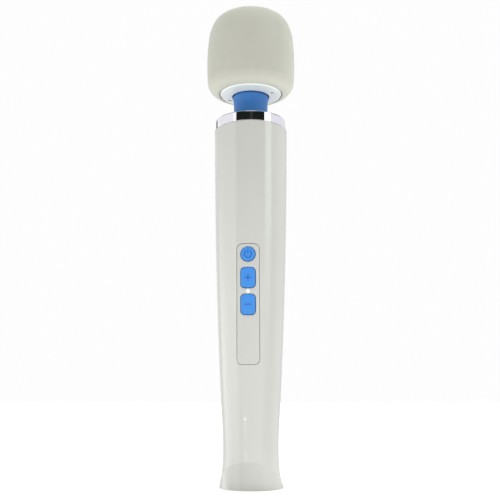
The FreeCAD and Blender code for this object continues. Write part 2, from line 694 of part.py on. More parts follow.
def make_board():
    """The control board with its switches, lamp and electronics."""
    board = new_body("board_body")
    back = board_front - board_thick
    width, low, high = board_width, board_bottom, board_top
    add_pad(board, "XZ_Plane", back, board_thick, lambda s: outline(
        s, [(width / 2, low), (width / 2, high), (-width / 2, high), (-width / 2, low)]))
    for height in (71.0, 161.0):
        add_pocket(board, "XZ_Plane", board_front, board_thick, lambda s, z=height: circle(s, 0, z, 1.2))
    node("control_board", board)

    switch = new_body("switch_body")
    side = switch_side
    add_pad(switch, "XZ_Plane", board_front, switch_deep, lambda s: outline(
        s, [(side / 2, -side / 2), (side / 2, side / 2), (-side / 2, side / 2), (-side / 2, -side / 2)]))
    add_pocket(switch, "XZ_Plane", board_front + switch_deep, 1.7,
               lambda s: circle(s, 0, 0, plunger_radius + 0.3))
    heights = (power_z, plus_z, minus_z)
    node("tactile_switches", copies(
        "switch_set", switch, [FreeCAD.Placement(V(0, 0, float(z)), FreeCAD.Rotation()) for z in heights]))

    screw = revolved("board_screw", [
        (0, -6.0), (0.98, -6.0), (0.98, 0), (2.0, 0), (2.0, 0.9), (1.4, 1.4), (0, 1.4)])
    lay = FreeCAD.Rotation(X_AXIS, -90)
    node("board_screws", copies("board_screw_set", screw, [
        FreeCAD.Placement(V(0, -float(back), z), lay) for z in (71.0, 161.0)]))

    node("status_lamp", block("lamp_chip", NOTHING, -board_front - 1.9, lamp_z - 1.0, 2.0, 1.9, 2.0))
    pipe_back, pipe_front = 13.3, 22.5
    node("lamp_light_pipe", rod_to_front(
        "lamp_pipe", lamp_radius, pipe_front - pipe_back, 0, -pipe_back, lamp_z))
    node("microcontroller", block("controller_chip", NOTHING, -back, 118.0, 7.0, 1.1, 7.0))
    node("driver_transistor", block("driver_chip", NOTHING, -back, 138.0, 6.5, 2.3, 6.5))
    node("smoothing_capacitor", cylinder("capacitor_can", 4.0, 12.0, 0, -back + 4.05, 92.0))
    plugs = [Part.makeBox(8, 4, 6, V(-4, -float(back), z)) for z in CONNECTOR_HEIGHTS]
    node("board_connectors", group("connector_pair", plugs))


# ---------------------------------------------------------------- motor

def make_motor():
    """A brushed motor: the shaft, core, windings and commutator turn inside the rest."""
    nose = Size(4.0, "4")
    node("motor_can", revolved("can", [
        (can_radius - can_wall, can_low),
        (can_radius, can_low),
        (can_radius, can_high - 1.2),
        (can_radius - 1.2, can_high, 1.2),
        (nose, can_high),
        (nose, can_high - 1.5),
        (can_radius - can_wall, can_high - 1.5),
    ]))
    node("motor_end_cap", revolved("end_cap", [
        (nose, cap_low),
        (can_radius - 0.6, cap_low),
        (can_radius, cap_low + 0.6, 0.6),
        (can_radius, can_low),
        (can_radius - 2.5, can_low),
        (can_radius - 2.5, cap_low + 4.0),
        (nose, cap_low + 4.0),
    ]))
    bush = nose - 0.03
    node("motor_front_bush", ring("front_bush", shaft_radius + 0.03, bush, can_high - 4.5, can_high))
    node("motor_rear_bush", ring("rear_bush", shaft_radius + 0.03, bush, cap_low, cap_low + 4.0))

    magnet = new_body("magnet")
    inner, outer_r, half = 11.3, float(can_radius - can_wall) - 0.05, math.radians(70)
    corner = [(r * math.sin(a), r * math.cos(a)) for r, a in
              ((inner, half), (outer_r, half), (outer_r, -half), (inner, -half))]
    add_pad(magnet, "XY_Plane", 184.0, 30.0, lambda s: outline(
        s, [corner[0] + (-inner,), corner[1], corner[2] + (outer_r,), corner[3]]))
    node("motor_magnets", copies("magnet_pair", magnet, turned(2)))

    brush = block("brush_block", NOTHING, 4.7, 176.9, 3.0, 5.0, 3.6)
    node("motor_brushes", copies("brush_pair", brush, turned(2, 90)))
    isolator = ring("isolator", can_radius + 0.05, isolator_radius, 184.0, 192.0)
    node("motor_isolators", copies("isolator_pair", isolator, [
        FreeCAD.Placement(V(0, 0, dz), FreeCAD.Rotation()) for dz in (0.0, 24.0)]))

    shaft_low = cap_low - 1.5
    node("motor_shaft", cylinder("motor_shaft_rod", shaft_radius, coupling_low + coupling_grip - shaft_low,
                                 0, 0, shaft_low))
    core = ring("core_turned", shaft_radius + 0.02, rotor_radius, 186.0, 212.0)
    slot_radius, slot_circle = 2.3, 8.2
    for i in range(ROTOR_POLES):
        a = 2 * math.pi * i / ROTOR_POLES
        add_pocket(core, "XY_Plane", 212.0, 26.0, lambda s, a=a: circle(
            s, slot_circle * math.cos(a), slot_circle * math.sin(a), slot_radius))
    node("rotor_core", core)
    coil = cylinder("coil", slot_radius - 0.05, 34.0, slot_circle, 0, 182.0)
    node("rotor_windings", copies("coil_set", coil, turned(ROTOR_POLES)))
    node("commutator", ring("commutator_ring", shaft_radius + 0.02, 4.6, 176.5, 181.0))


# ---------------------------------------------------------------- top of the handle and neck

def make_neck():
    node("trim_ring", revolved("chrome_ring", [
        (ring_bore, ring_skirt),
        (ring_radius - 1.6, ring_skirt),
        (ring_radius - 1.6, shell_top),
        (ring_radius - 0.7, shell_top),
        (ring_radius - 0.7, shell_top + 0.3),
        (ring_radius - 0.15, shell_top + 0.3),
        (ring_radius, shell_top + 0.45, 0.15),
        (ring_radius, ring_top - 0.7),
        (ring_radius - 0.7, ring_top, 0.7),
        (ring_bore + 0.4, ring_top),
        (ring_bore, ring_top - 0.4, 0.4),
    ]))
    flange = Size(14.3, "14.3")
    node("neck_collar", revolved("collar", [
        (flange + 0.1, 233.1),
        (ring_bore - 0.1, 233.1),
        (ring_bore - 0.1, ring_top - 0.9),
        (ring_bore - 0.7, ring_top - 0.3, 0.6),
        (neck_radius + 1.4, ring_top - 0.9),
        (neck_radius + 0.5, ring_top - 1.8, 0.9),
        (neck_radius + 0.5, 237.0),
        (flange + 0.1, 237.0),
    ]))
    node("neck_mount", revolved("mount_turned", [
        (4.2, can_high),
        (13.0, can_high),
        (13.0, 230.0),
        (ring_bore - 0.1, 230.0),
        (ring_bore - 0.1, 233.0),
        (boot_bore - 0.2, 233.0),
        (boot_bore - 0.2, spring_low),
        (5.5, spring_low),
        (5.5, spring_low + 3.0),
        (4.2, spring_low + 3.0),
    ]))
    screw_places = [FreeCAD.Placement(V(x, 0, 233.0), FreeCAD.Rotation()) for x in (-10.5, 10.5)]
    for x in (-10.5, 10.5):
        add_pocket(nodes["neck_mount"], "XY_Plane", 233.0, 7.0, lambda s, x=x: circle(s, x, 0, 1.32))
        add_pocket(nodes["neck_mount"], "XY_Plane", 233.0, 1.9, lambda s, x=x: circle(s, x, 0, 2.4))
        add_pocket(nodes["motor_can"], "XY_Plane", can_high, 1.5, lambda s, x=x: circle(s, x, 0, 1.32))
    screw = revolved("mount_screw", [
        (0, -9.5), (1.27, -9.5), (1.27, -1.85), (2.2, -1.85), (2.2, -0.7), (1.6, -0.1), (0, -0.1)])
    node("motor_screws", copies("mount_screw_pair", screw, screw_places))

    node("neck_boot", revolved("boot", [
        (boot_bore, 233.1),
        (flange, 233.1),
        (flange, 236.9),
        (neck_radius + 0.1, 236.9),
        (neck_radius, 251.0),
        (neck_flare, flare_z, "tangent"),
        (neck_flare - 0.25, flare_z + 0.25),
        (neck_radius - 0.1, flare_z + 0.25),
        (neck_radius - 0.1, 264.1),
        (flange, 264.1),
        (flange, 266.4),
        (boot_bore, 266.4),
    ]))

    helix = doc.addObject("Part::Helix", "spring_path")
    pitch = (spring_high - spring_low - spring_wire * 2 - 0.2) / SPRING_TURNS
    bind(helix, "Pitch", pitch)
    bind(helix, "Height", pitch * SPRING_TURNS)
    bind(helix, "Radius", spring_radius)
    place(helix, 0, 0, spring_low + spring_wire + 0.1)
    wire = doc.addObject("Part::Circle", "spring_section")
    bind(wire, "Radius", spring_wire)
    place(wire, spring_radius, 0, spring_low + spring_wire + 0.1, X_AXIS, 90)
    coil = doc.addObject("Part::Sweep", "spring_sweep")
    coil.Sections = [wire]
    coil.Spine = (helix, [])
    coil.Solid = True
    coil.Frenet = True
    node("neck_spring", coil)

    coupling = revolved("coupling", [
        (0, coupling_low + coupling_grip + 0.5),
        (shaft_radius, coupling_low + coupling_grip + 0.5),
        (shaft_radius, coupling_low),
        (coupling_radius, coupling_low),
        (coupling_radius, coupling_low + coupling_grip),
        (coupling_radius - 0.6, coupling_low + coupling_grip + 1.0),
        (coupling_radius - 0.6, coupling_high - coupling_grip - 1.0),
        (coupling_radius, coupling_high - coupling_grip),
        (coupling_radius, coupling_high),
        (shaft_radius, coupling_high),
        (shaft_radius, coupling_high - coupling_grip - 0.5),
        (0, coupling_high - coupling_grip - 0.5),
    ])
    node("flexible_coupling", coupling)


# ---------------------------------------------------------------- head

def make_head():
    # the screws sit on one diameter of the base plate, turned away from the side axis
    screw_circle, screw_turn = 16.0, -22.0
    plate = revolved("plate", [
        (neck_flare + 0.3, hub_z + 0.3),
        (neck_flare + 0.6, hub_z),
        (plate_radius - 0.7, plate_z),
        (plate_radius, plate_z + 0.7),
        (plate_radius, 264.0),
        (20.8, 264.0),
        (20.8, 266.4),
        (14.6, 266.4),
        (14.6, 264.0),
        (neck_flare + 0.3, 264.0),
    ])
    carrier = revolved("carrier", [
        (4.2, 265.0),
        (5.5, 265.0),
        (5.5, spring_high),
        (7.9, spring_high),
        (7.9, 266.5),
        (21.4, 266.5),
        (21.4, 270.0),
        (13.0, 270.0),
        (13.0, lower_bearing_z + bearing_width),
        (bearing_radius + 0.02, lower_bearing_z + bearing_width),
        (bearing_radius + 0.02, lower_bearing_z),
        (6.2, lower_bearing_z),
        (6.2, lower_bearing_z - 0.5),
        (4.2, lower_bearing_z - 0.5),
    ])
    places = []
    for half_turn in (0.0, 180.0):
        a = math.radians(screw_turn + half_turn)
        x, y = screw_circle * math.cos(a), screw_circle * math.sin(a)
        add_pocket(plate, "XY_Plane", 266.4, 6.0, lambda s, x=x, y=y: circle(s, x, y, 0.9))
        add_pocket(plate, "XY_Plane", hub_z, 3.8, lambda s, x=x, y=y: circle(s, x, y, 1.5), True)
        add_pocket(carrier, "XY_Plane", 270.0, 3.5, lambda s, x=x, y=y: circle(s, x, y, 0.83))
        places.append(FreeCAD.Placement(V(x, y, 0), FreeCAD.Rotation()))
    node("head_base_plate", plate)
    node("bearing_carrier", carrier)
    screw = revolved("plate_screw", [
        (0, 262.8),
        (0.7, 262.8),
        (0.7, 262.2),
        (1.4, 262.2),
        (1.4, 263.55),
        (0.8, 263.55),
        (0.8, 269.5),
        (0, 269.5),
    ])
    node("head_screws", copies("plate_screw_pair", screw, places))

    node("head_core", revolved("core_cup", [
        (core_radius - 2.2, 265.0),
        (core_radius, 265.0),
        (core_radius, 300.0),
        (16.0, core_top),
        (0, core_top),
        (0, core_top - 1.0),
        (4.2, core_top - 1.0),
        (4.2, upper_bearing_z + bearing_width + 0.5),
        (6.2, upper_bearing_z + bearing_width + 0.5),
        (6.2, upper_bearing_z + bearing_width),
        (bearing_radius + 0.02, upper_bearing_z + bearing_width),
        (bearing_radius + 0.02, upper_bearing_z),
        (11.5, upper_bearing_z),
        (11.5, 305.5),
        (15.0, 305.5),
        (core_radius - 2.2, 298.0),
    ]))

    inside = core_radius + 0.1
    crown_rise = crown_z - crown_edge_z
    crown_round = (crown_edge_radius * crown_edge_radius + crown_rise * crown_rise) / (crown_rise * 2)
    node("head_cover", revolved("cover", [
        (0, crown_z),
        (crown_edge_radius, crown_edge_z, -crown_round),
        (shoulder_edge_radius, shoulder_edge_z, "tangent"),
        (side_high_radius, side_high_z, "tangent"),
        (side_low_radius, side_low_z, "tangent"),
        (lip_radius, plate_z + 0.3, "tangent"),
        (plate_radius + 0.4, plate_z + 0.3),
        (plate_radius + 0.15, plate_z + 0.6),
        (plate_radius + 0.15, 264.9),
        (inside, 264.9),
        (inside, 300.05),
        (16.05, core_top + 0.1),
        (0, core_top + 0.1),
    ]))


def make_bearings():
    """Two equal ball bearings: races with a groove, balls, and the cage that keeps the balls apart."""
    track, track_half, race_wall = ball_radius + 0.05, 1.18, 2.1
    middle = lower_bearing_z + bearing_width / 2
    low, high = lower_bearing_z, lower_bearing_z + bearing_width
    inner_face, outer_face = bearing_bore + race_wall, bearing_radius - race_wall
    inner = revolved("inner_race_turned", [
        (bearing_bore + 0.02, low),
        (inner_face, low),
        (inner_face, middle - track_half),
        (inner_face, middle + track_half, -track),
        (inner_face, high),
        (bearing_bore + 0.02, high),
    ])
    outer = revolved("outer_race_turned", [
        (outer_face, low),
        (bearing_radius, low),
        (bearing_radius, high),
        (outer_face, high),
        (outer_face, middle + track_half),
        (outer_face, middle - track_half, -track),
    ])
    ball = doc.addObject("Part::Sphere", "bearing_ball")
    bind(ball, "Radius", ball_radius)
    place(ball, ball_circle, 0, middle)
    ball_set = copies("ball_set", ball, turned(BALLS))
    pocket = cylinder("cage_pocket", ball_radius + 0.04, 4.0, ball_circle - 2.0, 0, middle, Y_AXIS, 90)
    pockets = copies("cage_pocket_set", pocket, turned(BALLS))
    cage_ring = ring("cage_turned", ball_circle - 0.75, ball_circle + 0.75, middle - 2.1, middle + 2.1)
    cage = cut("cage_cut", cage_ring, pockets)

    rise = float(upper_bearing_z - lower_bearing_z)
    both = [FreeCAD.Placement(V(0, 0, z), FreeCAD.Rotation()) for z in (0.0, rise)]
    node("bearing_inner_races", copies("inner_race_pair", inner, both))
    node("bearing_outer_races", copies("outer_race_pair", outer, both))
    node("bearing_balls", copies("ball_pair", ball_set, both))
    node("bearing_cages", copies("cage_pair", cage, both))


def make_eccentric():
    """The off-centre weight on its shaft, which runs in the two bearings."""
    node("eccentric_shaft", revolved("eccentric_rod", [
        (0, coupling_high - coupling_grip),
        (shaft_radius, coupling_high - coupling_grip),
        (shaft_radius, coupling_high + 1.5),
        (bearing_bore, coupling_high + 1.5),
        (bearing_bore, upper_bearing_z + bearing_width + 1.2),
        (bearing_bore - 0.4, upper_bearing_z + bearing_width + 1.6),
        (0, upper_bearing_z + bearing_width + 1.6),
    ]))
    hub = 7.0
    weight = new_body("weight")
    add_pad(weight, "XY_Plane", weight_z, weight_tall, lambda s: circle(s, 0, 0, weight_radius))
    add_pocket(weight, "XY_Plane", weight_z + weight_tall, weight_tall, lambda s: outline(
        s, [(20.0, -20.0), (20.0, 0), (-20.0, 0), (-20.0, -20.0)]))
    add_pad(weight, "XY_Plane", weight_z, weight_tall, lambda s: circle(s, 0, 0, hub))
    add_pocket(weight, "XY_Plane", weight_z + weight_tall, weight_tall,
               lambda s: circle(s, 0, 0, bearing_bore + 0.02))
    middle = weight_z + weight_tall / 2
    bore = rod_to_front("set_screw_bore", 1.52, 10.0, 0, -2.0, middle)
    node("eccentric_weight", cut("weight_bored", weight, bore))
    node("weight_set_screw", rod_to_front("set_screw", 1.5, 3.5, 0, -3.1, middle))


# ---------------------------------------------------------------- base, inlet and leads

def make_base():
    """The plate that closes the base, with the round recess and the jack for the adapter's plug."""
    slab = ring("base_slab", NOTHING, base_seat_radius - fit_gap * 1.5, 0.4, base_seat_z - 0.1)
    trimmed = cut("base_trimmed", slab, facet_waste("base_waste", wall + 0.15))
    hole = cylinder("inlet_hole", recess_radius + 1.05, 10, 0, inlet_y, -2.0)
    node("base_plate", cut("base_pierced", trimmed, hole))

    collar = place(revolved("inlet_ring", [
        (recess_radius + 0.3, 0.3),
        (recess_radius + 1.0, 0.3),
        (recess_radius + 1.0, base_seat_z),
        (recess_radius + 2.6, base_seat_z),
        (recess_radius + 2.6, base_seat_z + 1.2),
        (recess_radius + 1.0, base_seat_z + 1.2),
        (recess_radius + 1.0, recess_deep + 0.6),
        (recess_radius, recess_deep + 0.6),
        (recess_radius, 0.6),
    ]), 0, inlet_y, 0)
    node("inlet_collar", collar)

    jack_low = recess_deep + 0.6
    jack = new_body("jack")
    half = 5.5
    add_pad(jack, "XY_Plane", jack_low, 10.5, lambda s: outline(
        s, [(half, -half), (half, half), (-half, half), (-half, -half)]))
    add_pocket(jack, "XY_Plane", jack_low, 8.5, lambda s: circle(s, 0, 0, jack_bore), True)
    place(jack, 0, inlet_y, 0)
    node("dc_jack", jack)
    node("jack_centre_pin", revolved("centre_pin", [
        (0, jack_low + 0.5),
        (pin_radius - 0.3, jack_low + 0.5),
        (pin_radius, jack_low + 0.8),
        (pin_radius, jack_low + 8.5),
        (0, jack_low + 8.5),
    ]))
    place(nodes["jack_centre_pin"], 0, inlet_y, 0)


def tube(points, radius):
    """A round lead along straight runs joined by arcs that touch them."""
    points = [V(*p) for p in points]
    edges = []
    begin = points[0]
    for before, corner, after in zip(points, points[1:], points[2:]):
        into = (corner - before).normalize()
        out = (after - corner).normalize()
        turn = into.getAngle(out)
        shorter = min((corner - before).Length, (after - corner).Length)
        trim = 0.45 * shorter
        bend = trim / math.tan(turn / 2)
        first, last = corner - into * trim, corner + out * trim
        centre_way = (out - into).normalize()
        centre = corner + centre_way * (bend / math.cos(turn / 2))
        middle = centre - centre_way * bend
        edges.append(Part.LineSegment(begin, first).toShape())
        edges.append(Part.Arc(first, middle, last).toShape())
        begin = last
    edges.append(Part.LineSegment(begin, points[-1]).toShape())
    path = Part.Wire(edges)
    start = (points[1] - points[0]).normalize()
    section = Part.Wire([Part.makeCircle(radius, points[0], start)])
    return path.makePipeShell([section], True, False)


def make_leads():
    """Two leads from the jack to the board, and two from the board to the motor."""
    lead, apart = 0.8, 2.2
    jack_y, plug_y = float(inlet_y), -7.7
    plug_low, plug_high = CONNECTOR_HEIGHTS[0], CONNECTOR_HEIGHTS[1] + 6.0
    motor_z = float(cap_low)
    supply, drive = [], []
    for side in (-1, 1):
        supply.append(tube([
            (side * apart, jack_y, 16.6),
            (side * apart, jack_y, 36.0),
            (side * apart, plug_y, 52.0),
            (side * apart, plug_y, plug_low - 0.1),
        ], lead))
        drive.append(tube([
            (side * apart, plug_y, plug_high + 0.1),
            (side * apart, plug_y, plug_high + 4.5),
            (side * 7.0, plug_y + 1.2, motor_z - 5.5),
            (side * 7.0, plug_y + 1.2, motor_z - 0.1),
        ], lead))
    node("supply_leads", group("supply_lead_pair", supply))
    node("motor_leads", group("motor_lead_pair", drive))


# ---------------------------------------------------------------- build and export

outer_form = make_shells()
make_shell_screws()
make_panel(outer_form)
make_buttons()
make_board()
make_motor()
make_neck()
make_head()
make_bearings()
make_eccentric()
make_base()
make_leads()
doc.recompute()

faults = [thing.Name for thing in doc.Objects if "Invalid" in thing.State or "Error" in thing.State]
if faults:
    raise SystemExit(f"failed objects: {faults}")
os.makedirs("parts", exist_ok=True)
for label, thing in nodes.items():
    shape = thing.Shape
    if shape.isNull() or not shape.isValid() or not shape.Solids:
        raise SystemExit(f"{label} has no valid shape")
    shape.exportStep(f"parts/{label}.step")
print(f"{len(nodes)} sub-parts written")
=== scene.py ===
import json
import math

import bmesh
import bpy
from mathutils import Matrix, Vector, noise
from mathutils.bvhtree import BVHTree


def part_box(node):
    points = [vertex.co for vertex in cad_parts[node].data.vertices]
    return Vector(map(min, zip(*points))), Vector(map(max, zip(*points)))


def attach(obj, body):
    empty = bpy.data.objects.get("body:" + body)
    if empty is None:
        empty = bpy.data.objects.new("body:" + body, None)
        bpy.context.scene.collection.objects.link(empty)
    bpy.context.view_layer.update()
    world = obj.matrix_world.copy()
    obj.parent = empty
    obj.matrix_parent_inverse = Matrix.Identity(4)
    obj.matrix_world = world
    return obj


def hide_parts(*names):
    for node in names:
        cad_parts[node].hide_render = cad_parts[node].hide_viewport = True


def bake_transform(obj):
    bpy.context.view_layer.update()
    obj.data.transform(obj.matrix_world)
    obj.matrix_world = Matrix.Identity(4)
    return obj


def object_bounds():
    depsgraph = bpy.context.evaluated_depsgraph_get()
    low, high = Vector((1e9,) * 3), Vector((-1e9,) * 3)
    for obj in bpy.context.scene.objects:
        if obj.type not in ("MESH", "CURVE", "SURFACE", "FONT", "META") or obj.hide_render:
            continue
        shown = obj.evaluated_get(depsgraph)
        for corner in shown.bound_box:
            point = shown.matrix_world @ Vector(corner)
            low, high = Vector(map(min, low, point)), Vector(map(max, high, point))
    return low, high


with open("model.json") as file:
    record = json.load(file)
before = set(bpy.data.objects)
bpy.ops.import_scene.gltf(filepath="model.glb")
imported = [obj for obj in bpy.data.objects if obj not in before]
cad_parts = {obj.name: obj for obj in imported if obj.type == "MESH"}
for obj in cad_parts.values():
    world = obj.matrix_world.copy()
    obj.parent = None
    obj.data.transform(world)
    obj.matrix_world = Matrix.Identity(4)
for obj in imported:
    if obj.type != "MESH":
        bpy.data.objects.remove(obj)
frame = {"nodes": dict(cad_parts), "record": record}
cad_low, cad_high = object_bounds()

# A handheld wand massager on a pale floor. Lengths are metres in the CAD frame, +Z up the handle and -Y the
# front.

MM = 0.001
TURN = 2 * math.pi
NODES = frame["nodes"]

# ---------------------------------------------------------------- camera

# LENS and SENSOR are in millimetres, the rest in metres and radians
LENS = 57.6
SENSOR = 36.0
CLIP_START = 0.01
CAMERA_AZIMUTH = math.radians(4.6)
CAMERA_PITCH = math.radians(10.3)
CAMERA_DISTANCE = 0.5234
CAMERA_HEIGHT = 0.0579
CAMERA_STEP = -0.00052


def make_camera():
    """The photograph's viewpoint: in front, low, a little to the right, and looking slightly up."""
    data = bpy.data.cameras.new("camera")
    data.lens = LENS
    data.sensor_width = SENSOR
    data.clip_start = CLIP_START
    camera = bpy.data.objects.new("camera", data)
    bpy.context.scene.collection.objects.link(camera)
    camera.location = (
        CAMERA_DISTANCE * math.sin(CAMERA_AZIMUTH) + CAMERA_STEP * math.cos(CAMERA_AZIMUTH),
        CAMERA_STEP * math.sin(CAMERA_AZIMUTH) - CAMERA_DISTANCE * math.cos(CAMERA_AZIMUTH),
        CAMERA_HEIGHT,
    )
    camera.rotation_euler = (math.pi / 2 + CAMERA_PITCH, 0, CAMERA_AZIMUTH)
    bpy.context.scene.camera = camera


# ---------------------------------------------------------------- shader helpers

def new_tree(owner):
    owner.use_nodes = True
    tree = owner.node_tree
    tree.nodes.clear()
    return tree


def add(tree, kind, **settings):
    """Adds a node. A setting names an input socket by its label, or else a property of the node."""
    node = tree.nodes.new("ShaderNode" + kind)
    for name, value in settings.items():
        label = name.replace("_", " ")
        if label in node.inputs:
            node.inputs[label].default_value = value
        else:
            setattr(node, name, value)
    return node


def rgba(colour):
    return (*colour, 1.0)


def grey(level):
    return (level, level, level)


def scaled(colour, factor):
    return tuple(min(1.0, c * factor) for c in colour)


class Material:
    """A procedural material built round one Principled shader."""

    def __init__(self, name, colour, roughness, metallic=0.0, **sockets):
        self.data = bpy.data.materials.new(name)
        self.tree = new_tree(self.data)
        self.shader = add(self.tree, "BsdfPrincipled", Roughness=roughness, Metallic=metallic)
        self.shader.inputs["Base Color"].default_value = rgba(colour)
        for label, value in sockets.items():
            self.shader.inputs[label.replace("_", " ")].default_value = value
        self.colour = colour
        output = add(self.tree, "OutputMaterial")
        self.link(self.shader.outputs[0], output.inputs["Surface"])
        self.place = add(self.tree, "TexCoord").outputs["Object"]
        self.data.diffuse_color = rgba(colour)
        self.last_bump = None

    def link(self, source, target):
        self.tree.links.new(source, target)

    def stretched(self, x, y, z):
        """Object coordinates scaled along each axis, for a grain that runs one way."""
        mapping = add(self.tree, "Mapping")
        mapping.inputs["Scale"].default_value = (x, y, z)
        self.link(self.place, mapping.inputs["Vector"])
        return mapping.outputs[0]

    def noise(self, size, detail=4.0, rough=0.55, vector=None):
        """A noise texture whose features are about size metres across."""
        texture = add(self.tree, "TexNoise", Scale=1.0 / size, Detail=detail, Roughness=rough)
        self.link(vector or self.place, texture.inputs["Vector"])
        return texture.outputs[0]

    def ranged(self, source, low, high, start=0.3, stop=0.7):
        node = add(self.tree, "MapRange")
        node.inputs["From Min"].default_value = start
        node.inputs["From Max"].default_value = stop
        node.inputs["To Min"].default_value = low
        node.inputs["To Max"].default_value = high
        self.link(source, node.inputs["Value"])
        return node.outputs[0]

    def vary_colour(self, source, low, high):
        """Shades the base colour from low times to high times its value as source rises."""
        ramp = add(self.tree, "ValToRGB")
        ends = ramp.color_ramp.elements
        ends[0].position, ends[1].position = 0.3, 0.7
        ends[0].color = rgba(scaled(self.colour, low))
        ends[1].color = rgba(scaled(self.colour, high))
        self.link(source, ramp.inputs[0])
        self.link(ramp.outputs[0], self.shader.inputs["Base Color"])

    def vary_roughness(self, source, low, high):
        self.link(self.ranged(source, low, high), self.shader.inputs["Roughness"])

    def bump(self, source, height, strength=1.0):
        """Adds relief of about height metres, on top of the relief already there."""
        node = add(self.tree, "Bump", Strength=strength, Distance=height)
        self.link(source, node.inputs["Height"])
        if self.last_bump:
            self.link(self.last_bump, node.inputs["Normal"])
        self.last_bump = node.outputs[0]
        self.link(self.last_bump, self.shader.inputs["Normal"])


# ---------------------------------------------------------------- materials

# how much deeper the coarse orange peel is than the fine
COARSE_PEEL = 8


def gloss_plastic(name, colour, roughness=0.16, peel=0.0000022, **sockets):
    """Moulded plastic with a polished tool finish: a faint orange peel, fine wear and soft colour drift."""
    made = Material(name, colour, roughness, **sockets)
    made.vary_colour(made.noise(0.035, 3.0), 0.985, 1.015)
    made.vary_roughness(made.noise(0.006, 5.0), roughness * 0.85, roughness * 1.2)
    made.bump(made.noise(0.0016, 2.0), peel * COARSE_PEEL)
    made.bump(made.noise(0.00025, 2.0), peel)
    return made


def matte_plastic(name, colour, roughness=0.5, grain=0.00035, depth=0.00003):
    """Moulded plastic with a spark-eroded texture."""
    made = Material(name, colour, roughness)
    made.vary_colour(made.noise(0.02, 4.0), 0.93, 1.06)
    made.vary_roughness(made.noise(0.004, 4.0), roughness * 0.88, roughness * 1.12)
    made.bump(made.noise(grain, 3.0), depth)
    return made


# how far a speck of dust shades silicone, on the scale of its cloud texture
DUST = 0.35


def silicone(name, colour, roughness, glow, glow_radius, sheen):
    """Soft silicone: light goes a little way in, the skin is velvety, and it holds a trace of dust."""
    made = Material(name, colour, roughness)
    shader = made.shader.inputs
    shader["Subsurface Weight"].default_value = glow
    shader["Subsurface Radius"].default_value = (1.0, 0.9, 0.8)
    shader["Subsurface Scale"].default_value = glow_radius
    shader["Sheen Weight"].default_value = sheen
    shader["Sheen Roughness"].default_value = 0.4
    shader["Specular IOR Level"].default_value = 0.4
    cloud = made.noise(0.018, 5.0, 0.6)
    specks = made.noise(0.0011, 2.0, 0.5)
    dusted = add(made.tree, "Math", operation="MULTIPLY_ADD")
    made.link(made.ranged(specks, 0.0, 1.0, 0.66, 0.78), dusted.inputs[0])
    dusted.inputs[1].default_value = -DUST
    made.link(cloud, dusted.inputs[2])
    made.vary_colour(dusted.outputs[0], 0.965, 1.025)
    made.vary_roughness(made.noise(0.004, 5.0), roughness * 0.93, roughness * 1.07)
    made.bump(made.noise(0.004, 3.0), 0.00002)
    made.bump(made.noise(0.0003, 3.0), 0.000008)
    return made


def turned_metal(name, colour, roughness=0.28, line=0.00025, depth=0.000003, anisotropic=0.4):
    """Metal with the fine rings that turning leaves about the Z axis."""
    made = Material(name, colour, roughness, metallic=1.0, Anisotropic=anisotropic)
    rings = made.noise(line, 3.0, vector=made.stretched(0.04, 0.04, 1.0))
    made.vary_colour(made.noise(0.008, 4.0), 0.9, 1.06)
    made.vary_roughness(made.noise(0.003, 5.0), roughness * 0.8, roughness * 1.25)
    made.bump(rings, depth)
    return made


def plated_metal(name, colour, roughness=0.3):
    """Plated steel: slightly cloudy, with small handling marks."""
    made = Material(name, colour, roughness, metallic=1.0)
    made.vary_colour(made.noise(0.004, 5.0), 0.86, 1.08)
    made.vary_roughness(made.noise(0.0015, 5.0), roughness * 0.7, roughness * 1.35)
    made.bump(made.noise(0.0005, 4.0), 0.000004)
    return made


def chrome(name, colour):
    """Bright chrome plating: near mirror, with a trace of unevenness and hairline wiping marks."""
    made = Material(name, colour, 0.03, metallic=1.0)
    made.vary_roughness(made.noise(0.003, 6.0, 0.7), 0.02, 0.05)
    made.bump(made.noise(0.012, 2.0), 0.000004)
    made.bump(made.noise(0.0002, 3.0, vector=made.stretched(0.03, 0.03, 1.0)), 0.0000002)
    return made


def board_laminate(name, colour):
    """Solder mask over a printed board, with the weave of the glass cloth and copper fill under it."""
    made = Material(name, colour, 0.3, Coat_Weight=0.4, Coat_Roughness=0.12)
    copper = made.noise(0.0045, 1.0, 0.3, made.stretched(1.0, 1.0, 0.45))
    made.vary_colour(made.ranged(copper, 0.0, 1.0, 0.47, 0.5), 0.75, 1.35)
    weave = add(made.tree, "TexWave", Scale=900.0, Distortion=0.6)
    made.link(made.place, weave.inputs["Vector"])
    made.bump(weave.outputs[0], 0.000006)
    return made


def sleeved_lead(name, colour):
    made = Material(name, colour, 0.38)
    made.vary_colour(made.noise(0.012, 3.0), 0.92, 1.08)
    made.vary_roughness(made.noise(0.003, 4.0), 0.3, 0.46)
    made.bump(made.noise(0.0012, 3.0), 0.00002)
    return made


def stacked_sheets(name, colour):
    """A rotor core pressed from thin steel sheets, whose edges show as lines."""
    made = Material(name, colour, 0.42, metallic=1.0)
    sheets = add(made.tree, "TexWave", Scale=320.0, bands_direction="Z")
    made.link(made.place, sheets.inputs["Vector"])
    made.vary_colour(sheets.outputs[0], 0.7, 1.1)
    made.bump(sheets.outputs[0], 0.00005)
    return made


def wound_wire(name, colour):
    """Enamelled copper wire laid side by side."""
    made = Material(name, colour, 0.24, metallic=1.0, Coat_Weight=0.8, Coat_Roughness=0.1)
    turns = made.noise(0.0004, 2.0, vector=made.stretched(1.0, 1.0, 0.05))
    made.vary_colour(turns, 0.72, 1.12)
    made.bump(turns, 0.0001)
    return made


